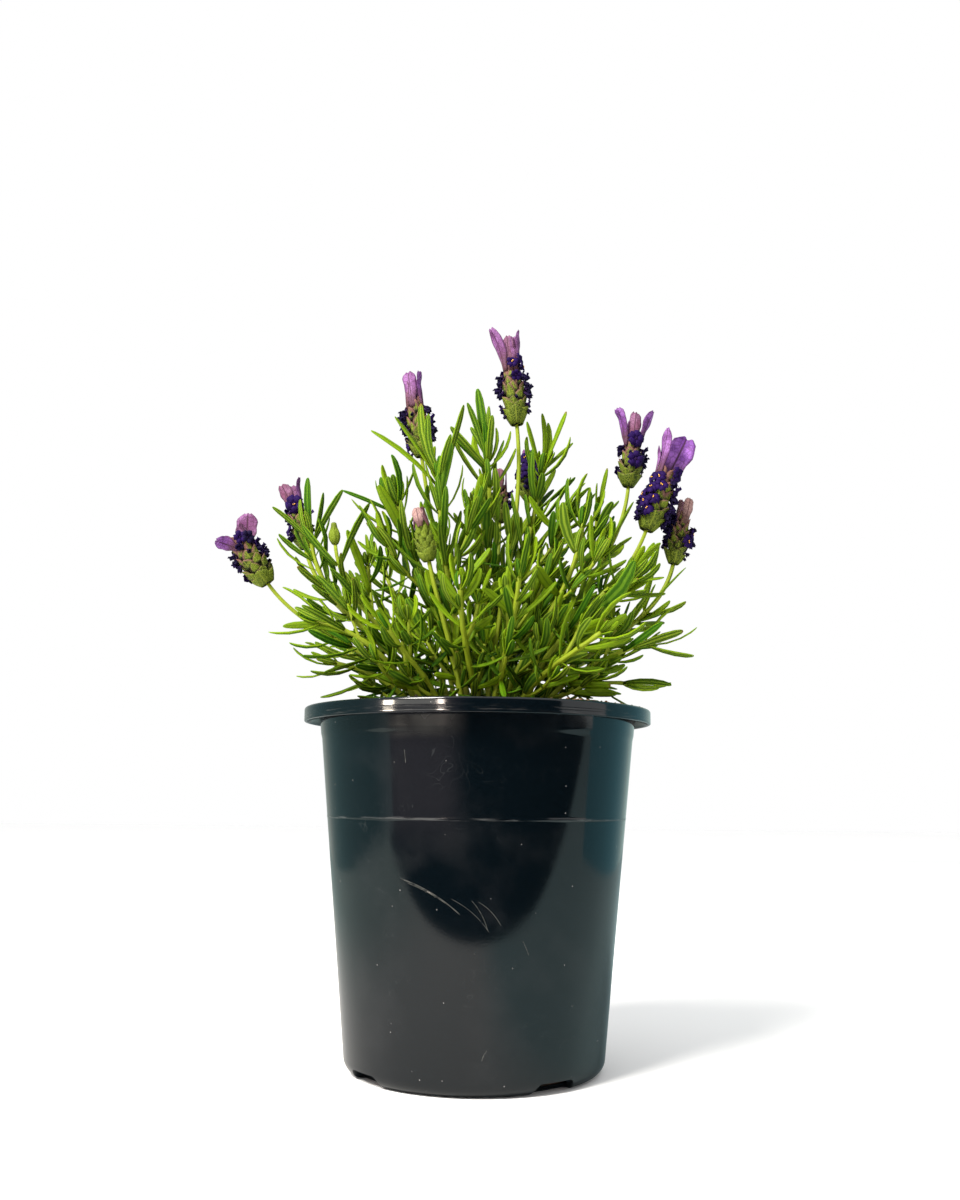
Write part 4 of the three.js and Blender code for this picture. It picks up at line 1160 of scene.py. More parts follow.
def leaf_to(name, axis, share, spot, width, bend, shows):
    """The leaf from the side of the axis that its tip lies on. Its chord ends at the tip; its arc leaves
    the chord by half the bend at each end. Which way a half turned leaf faces follows from its tip."""
    if name in FULLER_STEMS and width < THIN:
        width = round(min(FULLER * width, FULLEST), 1)
    tip = seen_at(*spot)
    section = axis.section(share)
    out = square_to(tip - section.middle, section.along)
    start = section.middle + out * section.radius * HIP
    span = float(np.linalg.norm(tip - start))
    ahead = (tip - start) / span
    if shows == 0:
        shows = math.copysign(HALF_TURNED, tip[0] + 3.3 * tip[2] % 7 - 3.5)
    upper = square_to(FRONT * shows - out * (1 - abs(shows)), ahead)
    half = math.radians(bend) / 2
    direction = math.cos(half) * ahead - math.sin(half) * upper
    face = math.sin(half) * ahead + math.cos(half) * upper
    length = span * half / math.sin(half)
    return Leaf(name, start, direction, face, length, 2 * half, TALL_FULL * width, TALL_AGE)


tall_growth = {name: [] for name, *_ in STEMS}
for name, rows in TALL_LEAVES.items():
    for shoot, *shape in rows:
        axis = growth[name][min(shoot, len(growth[name]) - 1)][0]
        leaf = leaf_to(name, axis, *shape)
        tall_growth[name].append(leaf)
        room.fill(name, *few_balls(leaf))

# The higher a stem ends, the more small leaves it has.
FULL_HEIGHTS = (240, 295, 335)
FULLNESS = (0.0, 0.42, 1.2)
small_growth = {}
for index, (name, _, tip, _, leafy, _, leaf_length, _, _) in enumerate(STEMS):
    rng = np.random.default_rng(index + 100)
    (stem, stations), *side_shoots = growth[name]
    fullness = float(np.interp(tip[2], FULL_HEIGHTS, FULLNESS))
    tuft = 3 + round(3 * fullness)
    has_tall = any(leaf.point[2] > stem.point(0.9)[2] for leaf in tall_growth[name])
    leaves = []
    if leafy == 1:
        leaves += end_tuft(stem, leaf_length, 3 if has_tall else tuft + 1, rng)
    for shoot, _ in side_shoots:
        leaves += end_tuft(shoot, 0.9 * leaf_length, tuft, rng)
    if fullness > 0.3:
        leaves += between_leaves(stem, stations, leaf_length, rng)
    for axis, pairs in growth[name]:
        leaves += axil_leaves(axis, pairs, leaf_length, 0.85 * fullness, rng)
    leaves += foot_leaves(stem, leaf_length, 4, rng)
    small_growth[name] = tall_growth[name] + [leaf for leaf in leaves if leaf]

# ---------------------------------------------------------------- stems and leaves
# Square green stems, a little swollen at each pair, and thick narrow leaves with a blunt tip and
# rolled margins: smooth above with a groove along the middle, felted grey-green beneath with a midrib.
# Points round a leaf's section, to the side and towards its upper face, in half widths.
LEAF_SECTION = np.array([
    (1, -0.18), (0.68, 0.16), (0, 0.0), (-0.68, 0.16), (-1, -0.18),
    (-0.78, -0.46), (-0.42, -0.22), (0, -0.46), (0.42, -0.22), (0.78, -0.46),
])
LEAF_UNDER = np.array([0.35, 0, 0, 0, 0.35, 1, 1, 1, 1, 1])  # 1 on the underside
LEAF_SHARES = np.array([0, 0.14, 0.36, 0.62, 0.84, 0.95, 0.99])
TINY = 15  # leaves up to this length have a simpler section
TINY_SECTION = np.array([(1, -0.14), (0.5, 0.2), (-0.5, 0.2), (-1, -0.14), (-0.5, -0.5), (0.5, -0.5)])
TINY_UNDER = np.array([0.35, 0, 0, 0.35, 1, 1])
TINY_SHARES = np.array([0, 0.3, 0.7, 0.9, 0.98])
TIP_UNDER = 0.3
LEAF_SWAY = 0.045
LEAF_FULL = 1.06  # of the width in the solid model
LEAF_TWIST = 24  # degrees at the tip
LEAF_ARCH = 34  # degrees more than in the solid model, between the same foot and tip
STEM_TURNS = 12
STEM_SUNK = 9  # in the mix
SWELLING = 0.3
SWELL_REACH = 2.2
SHOOT_YOUNG = 0.6


@dataclass
class Part:
    """Points and faces, with a UV pair and the tone, young and under values of every point, or one that
    all points share. Slot is the number of its material."""

    points: np.ndarray
    faces: list
    uv: object = (0, 0)
    tone: object = 0.5
    young: object = 0.5
    under: object = 0.5
    slot: int = 0

    def values(self, name):
        return np.broadcast_to(getattr(self, name), len(self.points))


def mesh_of_parts(name, parts):
    starts = np.cumsum([0] + [len(part.points) for part in parts])
    faces = [[start + corner for corner in face] for start, part in zip(starts, parts) for face in part.faces]
    mesh = new_mesh(name, np.concatenate([part.points for part in parts]), faces)
    slots = np.repeat([part.slot for part in parts], [len(part.faces) for part in parts])
    mesh.polygons.foreach_set("material_index", slots.astype(np.int32))
    give_uv(mesh, np.concatenate([np.broadcast_to(part.uv, (len(part.points), 2)) for part in parts]))
    for value in ("tone", "young", "under"):
        give_attribute(mesh, value, np.concatenate([part.values(value) for part in parts]))
    return mesh


def repeated(faces, count, stride):
    """The same faces for each of many shapes whose points follow each other."""
    many = np.asarray(faces) + stride * np.arange(count)[:, None, None]
    return many.reshape(-1, len(faces[0])).tolist()


def peaked_faces(count, rows, columns):
    """Faces of many shapes, each rings of points and one last point: bands, a peak, and a lid on the
    first ring."""
    last = (rows - 1) * columns
    ring = np.arange(columns)
    peak = np.stack([last + ring, last + (ring + 1) % columns, np.full(columns, rows * columns)], -1)
    kinds = (bands(rows, columns), peak, [ring[::-1]])
    return [face for faces in kinds for face in repeated(faces, count, rows * columns + 1)]


def outline(t, foot, widest, end, blunt):
    """Half the width at t of a leaf's length. It widens from the foot by a quarter of a sine wave, and
    past the widest place it falls by sqrt(1 - x^blunt) to its end."""
    rise = foot + (1 - foot) * np.sin(np.clip(t / widest, 0, 1) * np.pi / 2)
    return rise * np.sqrt(1 - np.clip((t - widest) / (end - widest), 0, 1) ** blunt)


def arched(leaf):
    """The leaf with more bend, about the same chord."""
    half = math.radians(LEAF_ARCH) / 2
    bend = leaf.bend + 2 * half
    span = leaf.length * math.sin(leaf.bend / 2) / (leaf.bend / 2)
    direction = math.cos(half) * leaf.direction - math.sin(half) * leaf.face
    face = math.cos(half) * leaf.face + math.sin(half) * leaf.direction
    length = span * (bend / 2) / math.sin(bend / 2)
    return replace(leaf, direction=direction, face=face, bend=bend, length=length)


def field(leaves, name):
    """One value of every leaf, in an array that counts leaves, sections, points and coordinates."""
    return np.array([getattr(leaf, name) for leaf in leaves]).reshape(len(leaves), 1, 1, -1)


def leaf_part(leaves, section, under, shares, rng):
    """Sections of each leaf on its arc, swayed to the side by s L sin(pi t), and twisted a little
    further at each section."""
    direction, face, point = (field(leaves, name) for name in ("direction", "face", "point"))
    length, bend, width = (field(leaves, name) for name in ("length", "bend", "width"))
    side = np.cross(face, direction)
    reach = length / bend
    t = shares[None, :, None, None]
    angle = bend * t

    def on_arc(angle):
        return point + direction * reach * np.sin(angle) + face * reach * (1 - np.cos(angle))

    sway = LEAF_SWAY * rng.normal(0, 1, length.shape) * length * np.sin(np.pi * t)
    twist = np.radians(LEAF_TWIST) * rng.normal(0, 0.6, length.shape) * t
    upper = face * np.cos(angle) - direction * np.sin(angle)
    turned_side = side * np.cos(twist) + upper * np.sin(twist)
    turned_upper = upper * np.cos(twist) - side * np.sin(twist)
    half = 0.5 * LEAF_FULL * width * outline(t, 0.46, 0.6, 1.003, 2.7)
    across = turned_side * section[:, :1] + turned_upper * section[:, 1:]
    rings = on_arc(angle) + side * sway + half * across
    count, rows, columns, _ = rings.shape
    points = np.concatenate([rings.reshape(count, -1, 3), on_arc(bend)[:, 0]], 1)
    u, v = np.meshgrid((section[:, 0] + 1) / 2, shares)
    uv = np.concatenate([np.stack([u, v], -1).reshape(-1, 2), [[0.5, 1.0]]])
    each = points.shape[1]
    return Part(
        points.reshape(-1, 3),
        peaked_faces(count, rows, columns),
        np.tile(uv, (count, 1)),
        np.repeat(rng.random(count), each),
        np.repeat(1 - field(leaves, "age").ravel(), each),
        np.tile(np.append(np.tile(under, rows), TIP_UNDER), count),
    )


def stalk_part(axis, stations):
    """A square with rounded corners, of radius r (0.86 - 0.1 cos 4a), carried along the axis. At each
    pair of leaves it swells."""
    is_stem = axis.radii is STEM_RADII
    rows = max(6, math.ceil(axis.length / 3.5))
    t = np.linspace(0, 1, rows)
    section = axis.section(t)
    pairs = np.array([share for share, _ in stations])
    near_pair = np.exp(-(((t[:, None] - pairs) * axis.length / SWELL_REACH) ** 2)).sum(1)
    angle = np.radians(15 + 30 * np.arange(STEM_TURNS))
    radius = (section.radius * (1 + SWELLING * near_pair))[:, None] * (0.86 - 0.1 * np.cos(4 * angle))
    cos, sin = np.cos(angle)[:, None], np.sin(angle)[:, None]
    across = section.side[:, None] * cos + section.up[:, None] * sin
    points = section.middle[:, None] + radius[..., None] * across
    if is_stem:
        points[0, :, 2] = np.minimum(points[0, :, 2], MIX_TOP - STEM_SUNK)
    uv = np.stack(np.broadcast_arrays(angle / (2 * np.pi), (t * axis.length / 10)[:, None]), -1)
    young = t if is_stem else SHOOT_YOUNG + (1 - SHOOT_YOUNG) * t
    faces = closed_rings(rows, STEM_TURNS)
    young = np.repeat(young, STEM_TURNS)
    return Part(points.reshape(-1, 3), faces, uv.reshape(-1, 2), young=young, under=0, slot=1)


def attributes_of(tree):
    return [attribute_of(tree, name) for name in ("tone", "young", "under")]


def leaf_material():
    """Green above, with painted shade darkening the groove along the middle, and a lighter foot; paler
    beneath, with painted shade darkening the valley on each side of the midrib; the tips of a few leaves
    are dry."""
    tree, where, finish = new_material(
        "lavender_leaf",
        Specular_IOR_Level=0.08,
        Subsurface_Weight=0.25,
        Subsurface_Radius=(0.6, 1.0, 0.12),
        Subsurface_Scale=1.2 * MM,
    )
    tone, young, under = attributes_of(tree)
    across, along, _ = coordinates(uv_of(tree))
    off_middle = abs(across - 0.5)
    # midrib is 1 along the groove in the middle of the upper side, which is painted darker as shade.
    midrib = ramp(off_middle, 0.10, 0.02)
    # valley is 1 in the recesses beside the midrib, where painted shade darkens the underside.
    valley = ramp(off_middle, 0.06, 0.16) * ramp(off_middle, 0.42, 0.30)
    dry = ramp(along, 0.93, 1.0) * ramp(tone, 0.86, 0.9)
    blotch = noise(where, 170)

    above = mix(tone, linear(2, 50, 4), linear(64, 97, 0))
    above = mix(young * 0.75, above, linear(115, 139, 9))
    # Painted shade: the groove along the middle of the upper side is darker.
    above = mix(midrib * 0.45, above, linear(6, 44, 0))
    above = mix(ramp(blotch, 0.35, 0.75) * 0.35, above, linear(92, 113, 8))
    beneath = mix(tone, linear(52, 94, 8), linear(110, 128, 32))
    # Painted shade in the recesses beside the midrib on the underside.
    beneath = mix(valley * 0.7, beneath, linear(10, 54, 0))
    colour = mix(ramp(under, 0.45, 0.9), above, beneath)
    colour = mix(ramp(along, 0.16, 0.0) * 0.4, colour, linear(108, 126, 16))
    colour = mix(dry * 0.8, colour, linear(101, 68, 38))
    felt = bump(noise(where, 1500, 2.0) * 0.35 + blotch, 0.12)
    return finish(Base_Color=colour, Roughness=under * 0.2 + 0.6, Normal=felt)


def stem_material():
    """Yellow-green with fine ribs, browner and corky towards the root."""
    tree, where, finish = new_material("lavender_stem", Specular_IOR_Level=0.2, Roughness=0.55)
    fibre = noise(stretched(uv_of(tree), 40, 1.5, 1), 1.0)
    bark = ramp(noise(where, 60) * 0.3 + attribute_of(tree, "young"), 0.34, 0.16)
    green = mix(fibre, linear(96, 114, 8), linear(134, 146, 28))
    return finish(Base_Color=mix(bark * 0.75, green, linear(97, 77, 40)), Normal=bump(fibre, 0.1))


def growth_mesh(name, seed):
    rng = np.random.default_rng(seed)
    axes = growth[name]
    paired = [arched(leaf) for _, stations in axes for _, grown in stations for leaf in grown.values()]
    larger = [leaf for leaf in small_growth[name] if leaf.length > TINY]
    tiny = [leaf for leaf in small_growth[name] if leaf.length <= TINY]
    parts = [stalk_part(axis, stations) for axis, stations in axes]
    parts.append(leaf_part(paired + larger, LEAF_SECTION, LEAF_UNDER, LEAF_SHARES, rng))
    if tiny:
        parts.append(leaf_part(tiny, TINY_SECTION, TINY_UNDER, TINY_SHARES, rng))
    return mesh_of_parts("growth_" + name, parts)


LEAF = leaf_material()
STEM = stem_material()
for index, (name, *_) in enumerate(STEMS):
    new_piece("growth_" + name, growth_mesh(name, index), [LEAF, STEM], "green_growth", "stem_" + name)

# ---------------------------------------------------------------- flower spikes
# A spike is a packed cone of overlapping scales, green with pinkish-brown papery margins, on a hidden
# core. Broad green bracts cup its foot. Small dark violet florets stand out between the scales, each
# a tube that opens into five lobes; most are withered.
SPIKE_GIRTH = 0.88
CORE_GIRTH = 0.78
SCALE_ROWS = 8
BUD_ROWS = 3
SCALES = 5  # in a row
SCALE_THICKNESS = 0.28
SCALE_WIDTH = 3.9 / 7  # of the spike's radius
SCALE_TALL = 1.62  # rows that an open scale covers
CUP_TALL = 2.0  # and one of the lowest row
CLOSED_TALL = 1.5
CLOSED_CUP_TALL = 2.3
CUP_WIDE = 1.45
SCALE_STARTS = 0.4  # below its row
SET_IN = 0.35  # into the spike
STAND_OFF = 2.3  # of an open scale's point
YOUNG_CLOSED = 0.45  # 1 is as closed as a bud
TUBE_SHARES = np.array([0, 0.6, 1])
TUBE_RADII = np.array([0.6, 0.95, 1.4])
TUBE_SIDES = 6
LOBES = 5
LOBE_THICKNESS = 0.2
LOBE_BEND = (2, 88)  # degrees, withered and more in flower
LOBE_LONG = (4.4, 1.6)  # withered and less in flower
LOBE_WIDE = (1.7, 0.15)  # withered and more in flower
MOUTH = 0.75  # from the middle of a floret to the foot of a lobe
ANTHER = 0.42  # half its length
THROAT = 0.55  # how far the anthers stand out of it
FRESH = 0.9  # a floret that is open so far shows its anthers
AT_SIDE = 50  # degrees from the front, from where florets have a withered one beside them
GOLDEN = 137.5  # degrees from one hidden floret to the next

# Florets on the side that the photo shows: height on the spike, bearing in degrees from the front
# towards the right, size, and how far open.
FLORETS = {
    "top": [
        (37, 6, 1.0, 0.9), (30, 16, 0.9, 0.5), (40, 62, 0.9, 0.8), (35, 78, 1.1, 0.9), (29, 84, 1.0, 0.6),
        (22, 80, 1.1, 0.5), (31, -80, 0.9, 0.3), (24, -86, 1.1, 0.25), (9, -76, 0.6, 0.5),
        (12, 80, 0.8, 0.8), (17, 8, 0.45, 0.1),
    ],
    "upper_left": [
        (31, -82, 1.1, 0.2), (26, -86, 1.1, 0.3), (20, -78, 0.9, 0.2), (5, -84, 0.9, 0.8),
        (32, 78, 0.9, 0.1), (22, 84, 1.2, 0.7), (15, 80, 1.0, 0.5), (27, -20, 0.5, 0.1),
        (21, 30, 0.5, 0.1),
    ],
    "far_left": [
        (28, 50, 1.1, 0.6), (25, 78, 1.0, 0.4), (20, 84, 1.0, 0.5), (28, -6, 0.8, 0.3),
        (25, -80, 0.8, 0.4), (20, -84, 0.8, 0.4), (22, 16, 0.5, 0.2), (30, 20, 1.0, 0.7),
    ],
    "left_back": [(28, -4, 1.6, 0.9), (22, -62, 0.9, 0.4), (12, -70, 1.1, 0.8), (24, 70, 0.7, 0.2)],
    "middle_back": [
        (25, -20, 1.2, 0.9), (26, 24, 1.2, 0.9), (20, 2, 1.3, 0.9), (15, -34, 1.2, 0.8),
        (14, 40, 1.2, 0.8), (9, 6, 1.1, 0.6), (28, 0, 1.1, 0.7),
    ],
    "hidden_back": [(14, 70, 0.8, 0.3), (20, -60, 0.7, 0.2)],
    "right_high": [
        (29, 12, 1.4, 0.89), (15, 14, 1.4, 0.89), (26, -80, 0.9, 0.1), (24, 78, 1.0, 0.5),
        (19, 86, 1.0, 0.4), (12, -84, 0.4, 0.4), (11, 82, 0.4, 0.2), (22, -12, 0.45, 0.1),
    ],
    "right_big": [
        (31, -30, 1.1, 1.0), (30, -66, 1.1, 0.9), (25, -8, 1.1, 0.9), (23, -44, 1.2, 1.0),
        (19, -78, 1.1, 0.9), (16, -20, 1.2, 1.0), (14, -52, 1.2, 1.0), (9, -30, 1.2, 1.0),
        (9, -70, 0.9, 0.7), (36, 52, 1.3, 0.8), (27, 76, 1.2, 0.7), (22, 84, 1.1, 0.5),
        (16, 78, 1.1, 0.5), (10, 84, 0.9, 0.4),
    ],
    "right_low": [
        (19, 82, 1.2, 0.9), (13, 42, 1.2, 0.9), (25, -76, 1.1, 0.4), (20, -84, 1.0, 0.4),
        (29, -66, 1.0, 0.6), (8, 74, 0.5, 0.2),
    ],
}


@dataclass
class Stand:
    """Where a head stands: the end of its stem, its direction, and two directions across it, the front
    one turned to the photo's side."""

    base: np.ndarray
    along: np.ndarray
    front: np.ndarray
    right: np.ndarray

    def bearing(self, angle):
        angle = np.asarray(angle)[..., None]
        return self.front * np.cos(angle) + self.right * np.sin(angle)

    def round_it(self, heights, angles, radii):
        return self.base + heights[..., None] * self.along + radii[..., None] * self.bearing(angles)


def stand_of(name):
    end = stem_axes[name].section(1)
    front = square_to(FRONT, end.along)
    return Stand(end.middle + SEAT * end.along, end.along, front, np.cross(end.along, front))


def spike_radius(girth, t):
    """About two thirds of its widest at the foot and at the top, and widest a little under the middle,
    by a sine."""
    return SPIKE_GIRTH * girth * (0.5 + 0.5 * np.sin(np.pi * (0.1 + 0.8 * np.clip(t, 0, 1) ** 0.8)))


def core_part(stand, length, girth, ripe, rows=10, turns=12):
    """The spike's own form, a little slimmer, turned about its axis and closed at both ends."""
    t, angles = np.meshgrid(np.linspace(0, 1, rows), np.arange(turns) * 2 * np.pi / turns, indexing="ij")
    heights = SEAT + (length - 2 * SEAT) * t
    points = stand.round_it(heights, angles, CORE_GIRTH * spike_radius(girth, t))
    return Part(points.reshape(-1, 3), closed_rings(rows, turns), young=0.5 * ripe)


def shell_part(fronts, thickness, tone, young, slot):
    """Thin closed plates. Each front is a grid of points; its back lies a thickness behind it, along
    the cross product of the grid's two directions."""
    rows, columns, _ = fronts.shape[-3:]
    fronts = fronts.reshape(-1, rows, columns, 3)
    count = len(fronts)
    normals = np.cross(np.gradient(fronts, axis=2), np.gradient(fronts, axis=1))
    backs = fronts - thickness * unit(normals + 1e-9)
    half = rows * columns
    grid = np.arange(half).reshape(rows, columns)
    quads = np.stack([grid[:-1, :-1], grid[:-1, 1:], grid[1:, 1:], grid[1:, :-1]], -1).reshape(-1, 4)
    edge = np.concatenate([grid[0, :-1], grid[:-1, -1], grid[-1, :0:-1], grid[:0:-1, 0]])
    ahead = np.roll(edge, -1)
    rim = np.stack([ahead, edge, edge + half, ahead + half], -1)
    u, v = np.meshgrid(np.linspace(0, 1, columns), np.linspace(0, 1, rows))
    return Part(
        np.stack([fronts, backs], 1).reshape(-1, 3),
        repeated(np.concatenate([quads, quads[:, ::-1] + half, rim]), count, 2 * half),
        np.tile(np.stack([u, v], -1).reshape(-1, 2), (2 * count, 1)),
        np.repeat(np.broadcast_to(tone, count), 2 * half),
        np.repeat(np.broadcast_to(young, count), 2 * half),
        np.tile(np.repeat([0.0, 1.0], half), count),
        slot,
    )


def scale_part(stand, length, girth, rows, ripe, closed, rng):
    """Scales in rows, each row turned by half a scale; those of the lowest row are the cup. A scale is
    as wide as (0.75 + 0.9 v) (1 - v^1.6)^0.8 at v of its height, and stands off more towards its point."""
    row, place = (grid.ravel()[:, None, None] for grid in np.meshgrid(np.arange(rows), np.arange(SCALES)))
    cup = row == 0
    share = row / rows
    v = np.array([0, 0.2, 0.42, 0.64, 0.84, 1.0])[:, None]
    u = np.linspace(-1, 1, 5)
    taller, wider, aside = rng.normal(0, 1, (len(row), 3)).T[..., None, None]

    if_open = np.where(cup, CUP_TALL, SCALE_TALL)
    if_closed = np.where(cup, CLOSED_CUP_TALL, CLOSED_TALL - 0.5 * share)
    overlap = if_open * (1 - closed) + if_closed * closed
    tall = length / rows * overlap * (1 + 0.14 * taller * (1 - closed))
    wide = SCALE_WIDTH * girth * np.where(cup, CUP_WIDE, 1.0 - 0.15 * share) * (1 + 0.12 * wider)
    half = (0.75 + 0.9 * v) * (1 - v**1.6) ** 0.8 + 0.03
    heights = length * share - SCALE_STARTS + tall * (v - 0.05 * u**2 * (1 - v))
    middle = 2 * np.pi * (place + 0.5 * (row % 2)) / SCALES + 0.13 * aside
    angles = middle + u * half * wide / spike_radius(girth, np.clip(share, 0.08, 0.95))

    radii = spike_radius(girth, heights / length) - SET_IN + np.where(cup, 0.5, 0) * np.sin(np.pi * v)
    radii = radii + (1 - closed) * (STAND_OFF + 0.5 * taller) * v**2 * (1 - 0.6 * share)
    radii = radii - 0.9 * u**2 * half + 0.25 * (1 - np.abs(u)) * np.sin(np.pi * v)
    radii = radii * (1 - 0.8 * closed * np.clip(heights / length, 0, 1.1) ** 3) + 0.5 * closed
    fronts = stand.round_it(*np.broadcast_arrays(heights, angles, radii))
    young = ripe * np.maximum(share, closed).ravel()
    return shell_part(fronts, SCALE_THICKNESS, rng.random(len(row)), young, 0)


def spread(values):
    """The values or vectors of some florets, in an array that counts florets, lobes, rows and columns."""
    return values[:, None, None, None]


def tube_part(foot, mouth, east, north, size, opened):
    """Tubes of three rings that flare to their mouths: m + r (e cos a + n sin a) about the middle m."""
    t, wide = TUBE_SHARES[:, None, None], TUBE_RADII[:, None, None]
    angles = (np.arange(TUBE_SIDES) * 2 * np.pi / TUBE_SIDES)[:, None]
    foot, mouth, east, north = (vectors[:, None, None] for vectors in (foot, mouth, east, north))
    ring = east * np.cos(angles) + north * np.sin(angles)
    points = foot + (mouth - foot) * t + wide * spread(size) * ring
    rows, each = len(TUBE_SHARES), len(TUBE_SHARES) * TUBE_SIDES
    faces = repeated(bands(rows, TUBE_SIDES), len(size), each)
    for lid in (np.arange(TUBE_SIDES)[::-1], np.arange(each - TUBE_SIDES, each)):
        faces += repeated([lid], len(size), each)
    tone = np.repeat(0.4 + 0.4 * opened, each)
    return Part(points.reshape(-1, 3), faces, (0.5, 0), tone, young=0, under=0, slot=1)


def lobe_part(mouth, ahead, east, north, size, opened, rng):
    """Five lobes each, bent open as they run out. The more open, the shorter and the more bent."""
    v = np.array([0, 0.36, 0.74, 1.0])[:, None]
    u = np.array([-1.0, 0.0, 1.0])
    turn = (np.arange(LOBES) * 2 * np.pi / LOBES)[:, None, None, None]
    radial = np.cos(turn) * spread(east) + np.sin(turn) * spread(north)
    sideways = np.sin(turn) * spread(east) - np.cos(turn) * spread(north)
    mouth, ahead, size, opened = (spread(values) for values in (mouth, ahead, size, opened))
    unruly = rng.normal(0, 0.16, (len(size), LOBES, 1, 1)) * (0.3 + v) * (0.3 + 0.7 * opened)
    bend = np.radians(LOBE_BEND[0] + LOBE_BEND[1] * opened) * (0.55 + 0.6 * v) + unruly
    long = size * (LOBE_LONG[0] - LOBE_LONG[1] * opened) * v
    wide = size * (LOBE_WIDE[0] + LOBE_WIDE[1] * opened) * np.sin(np.pi * (0.26 + 0.46 * v)) * u
    out = MOUTH * size + long * np.sin(bend) + 0 * u
    forward = long * np.cos(bend) - 0.35 * np.abs(u) * long
    fronts = mouth + radial * out[..., None] + ahead * forward[..., None] + sideways * wide[..., None]
    tone = np.clip(opened.ravel() + rng.normal(0, 0.15, len(size)), 0, 1)
    return shell_part(fronts, LOBE_THICKNESS, np.repeat(tone, LOBES), 1.0, 1)


def anther_part(throat, east):
    """A pair of anthers in each throat, each with eight faces."""
    corners = np.array([(1, 0, 0), (0, 1, 0), (-1, 0, 0), (0, -1, 0), (0, 0, 1), (0, 0, -1)]) * ANTHER
    pair = np.array([-0.5, 0.5])[:, None, None]
    points = (throat[:, None, None] + east[:, None, None] * pair + corners).reshape(-1, 3)
    eight = [(0, 1, 4), (1, 2, 4), (2, 3, 4), (3, 0, 4), (1, 0, 5), (2, 1, 5), (3, 2, 5), (0, 3, 5)]
    return Part(points, repeated(eight, len(points) // 6, 6), slot=2)


def floret_parts(stand, girth, length, florets, rng):
    """Florets at their places on a spike. The less a floret is open, the more it hangs."""
    height, bearing, size, opened = np.array(florets, float).T
    out = stand.bearing(np.radians(bearing))
    foot = stand.round_it(height, np.radians(bearing), spike_radius(girth, height / length) - 0.6)
    lean = (1.5 * opened - 1.25)[:, None]
    lean = lean + rng.normal(0, 0.15, lean.shape)
    ahead = unit(out + lean * stand.along)
    spin = rng.uniform(0, 2 * np.pi, len(size))[:, None]
    level = unit(np.cross(ahead, stand.along))
    east = level * np.cos(spin) + np.cross(ahead, level) * np.sin(spin)
    north = np.cross(ahead, east)
    mouth = foot + ahead * (1.4 + 1.5 * size)[:, None]
    parts = [
        tube_part(foot, mouth, east, north, size, opened),
        lobe_part(mouth, ahead, east, north, size, opened, rng),
    ]
    fresh = opened >= FRESH
    if fresh.any():
        parts.append(anther_part((mouth + THROAT * ahead)[fresh], east[fresh]))
    return parts


def with_withered(florets):
    """Beside each floret that shows at a side, a withered one a little lower and nearer the front."""
    at_side = [row for row in florets if abs(row[1]) > AT_SIDE]
    return florets + [(h - 2.8, b - math.copysign(8, b), 0.85 * size, 0.1) for h, b, size, _ in at_side]


def hidden_florets(length, number):
    """Florets on the side away from the photo, one golden angle apart."""
    turns = np.arange(2 * number)
    bearing = (turns * GOLDEN + 40) % 360
    height = length * (0.14 + 0.74 * (turns + 0.5) / len(turns))
    opened = 0.15 + 0.7 * ((7 * turns) % 5) / 4
    behind = (bearing > 100) & (bearing < 260)
    return np.stack([height, bearing, np.ones(len(turns)), opened], -1)[behind].tolist()


def cell_edges(where, scale):
    """The distance from the nearest border between cells."""
    inputs = {"Vector": where, "Scale": scale}
    return put(where.socket.id_data, "TexVoronoi", inputs, output="Distance", feature="DISTANCE_TO_EDGE")


def scale_material():
    """Green with lighter veins; the margins and the upper scales turn pinkish brown and papery. Painted
    shade darkens the foot of each scale, the backs of the scales and the core.
    """
    tree, where, finish = new_material("spike_scales", Specular_IOR_Level=0.2, Roughness=0.7)
    tone, row, under = attributes_of(tree)
    across, along, _ = coordinates(uv_of(tree))
    off_middle = abs(across * 2.0 - 1.0)
    veins = ramp(cell_edges(where, 620.0), 0.14, 0.02).or_more(ramp(off_middle, 0.14, 0.04))
    # Painted shade: in spikes in flower, the foot of each scale over the lowest row, and the core, are dark.
    between = ramp(along, 0.34, 0.1) * ramp(row, 0.02, 0.1)
    ripe = row * 0.75 + off_middle * 0.42 + along * 0.55 + noise(where, 260) * 0.5

    green = mix(tone, linear(42, 56, 0), linear(80, 96, 8))
    green = mix(veins * 0.6, green, linear(112, 122, 30))
    # Painted shade at the foot of each scale and on the core.
    green = mix(between, green, linear(26, 30, 4))
    brown = mix(noise(where, 180), linear(66, 42, 30), linear(128, 88, 82))
    colour = mix(ramp(ripe, 0.98, 1.36), green, brown)
    colour = mix(ramp(row, 0.0, -0.5), colour, linear(96, 112, 16))
    # Painted shade: the backs of the scales, and the core a little, are darker.
    colour = mix(under * 0.6, colour, linear(34, 38, 8))
    return finish(Base_Color=colour, Normal=bump(veins * -1.0, 0.15))


def petal_material():
    """Velvety deep violet, nearly black where withered."""
    tree, where, finish = new_material("violet_petals", Specular_IOR_Level=0.08, Roughness=0.7)
    tone, lobe, _ = attributes_of(tree)
    fresh = mix(noise(where, 420), linear(9, 1, 30), linear(37, 11, 78))
    colour = mix(ramp(tone, 0.2, 0.85), linear(17, 10, 40), fresh)
    colour = mix(lobe, linear(36, 18, 54), colour)
    return finish(Base_Color=colour, Normal=bump(noise(where, 900), 0.12))


def anther_material():
    """Orange grains of pollen."""
    _, where, finish = new_material("orange_anthers", Roughness=0.8)
    return finish(Base_Color=mix(noise(where, 1800, 2.0), linear(236, 150, 10), linear(255, 206, 70)))


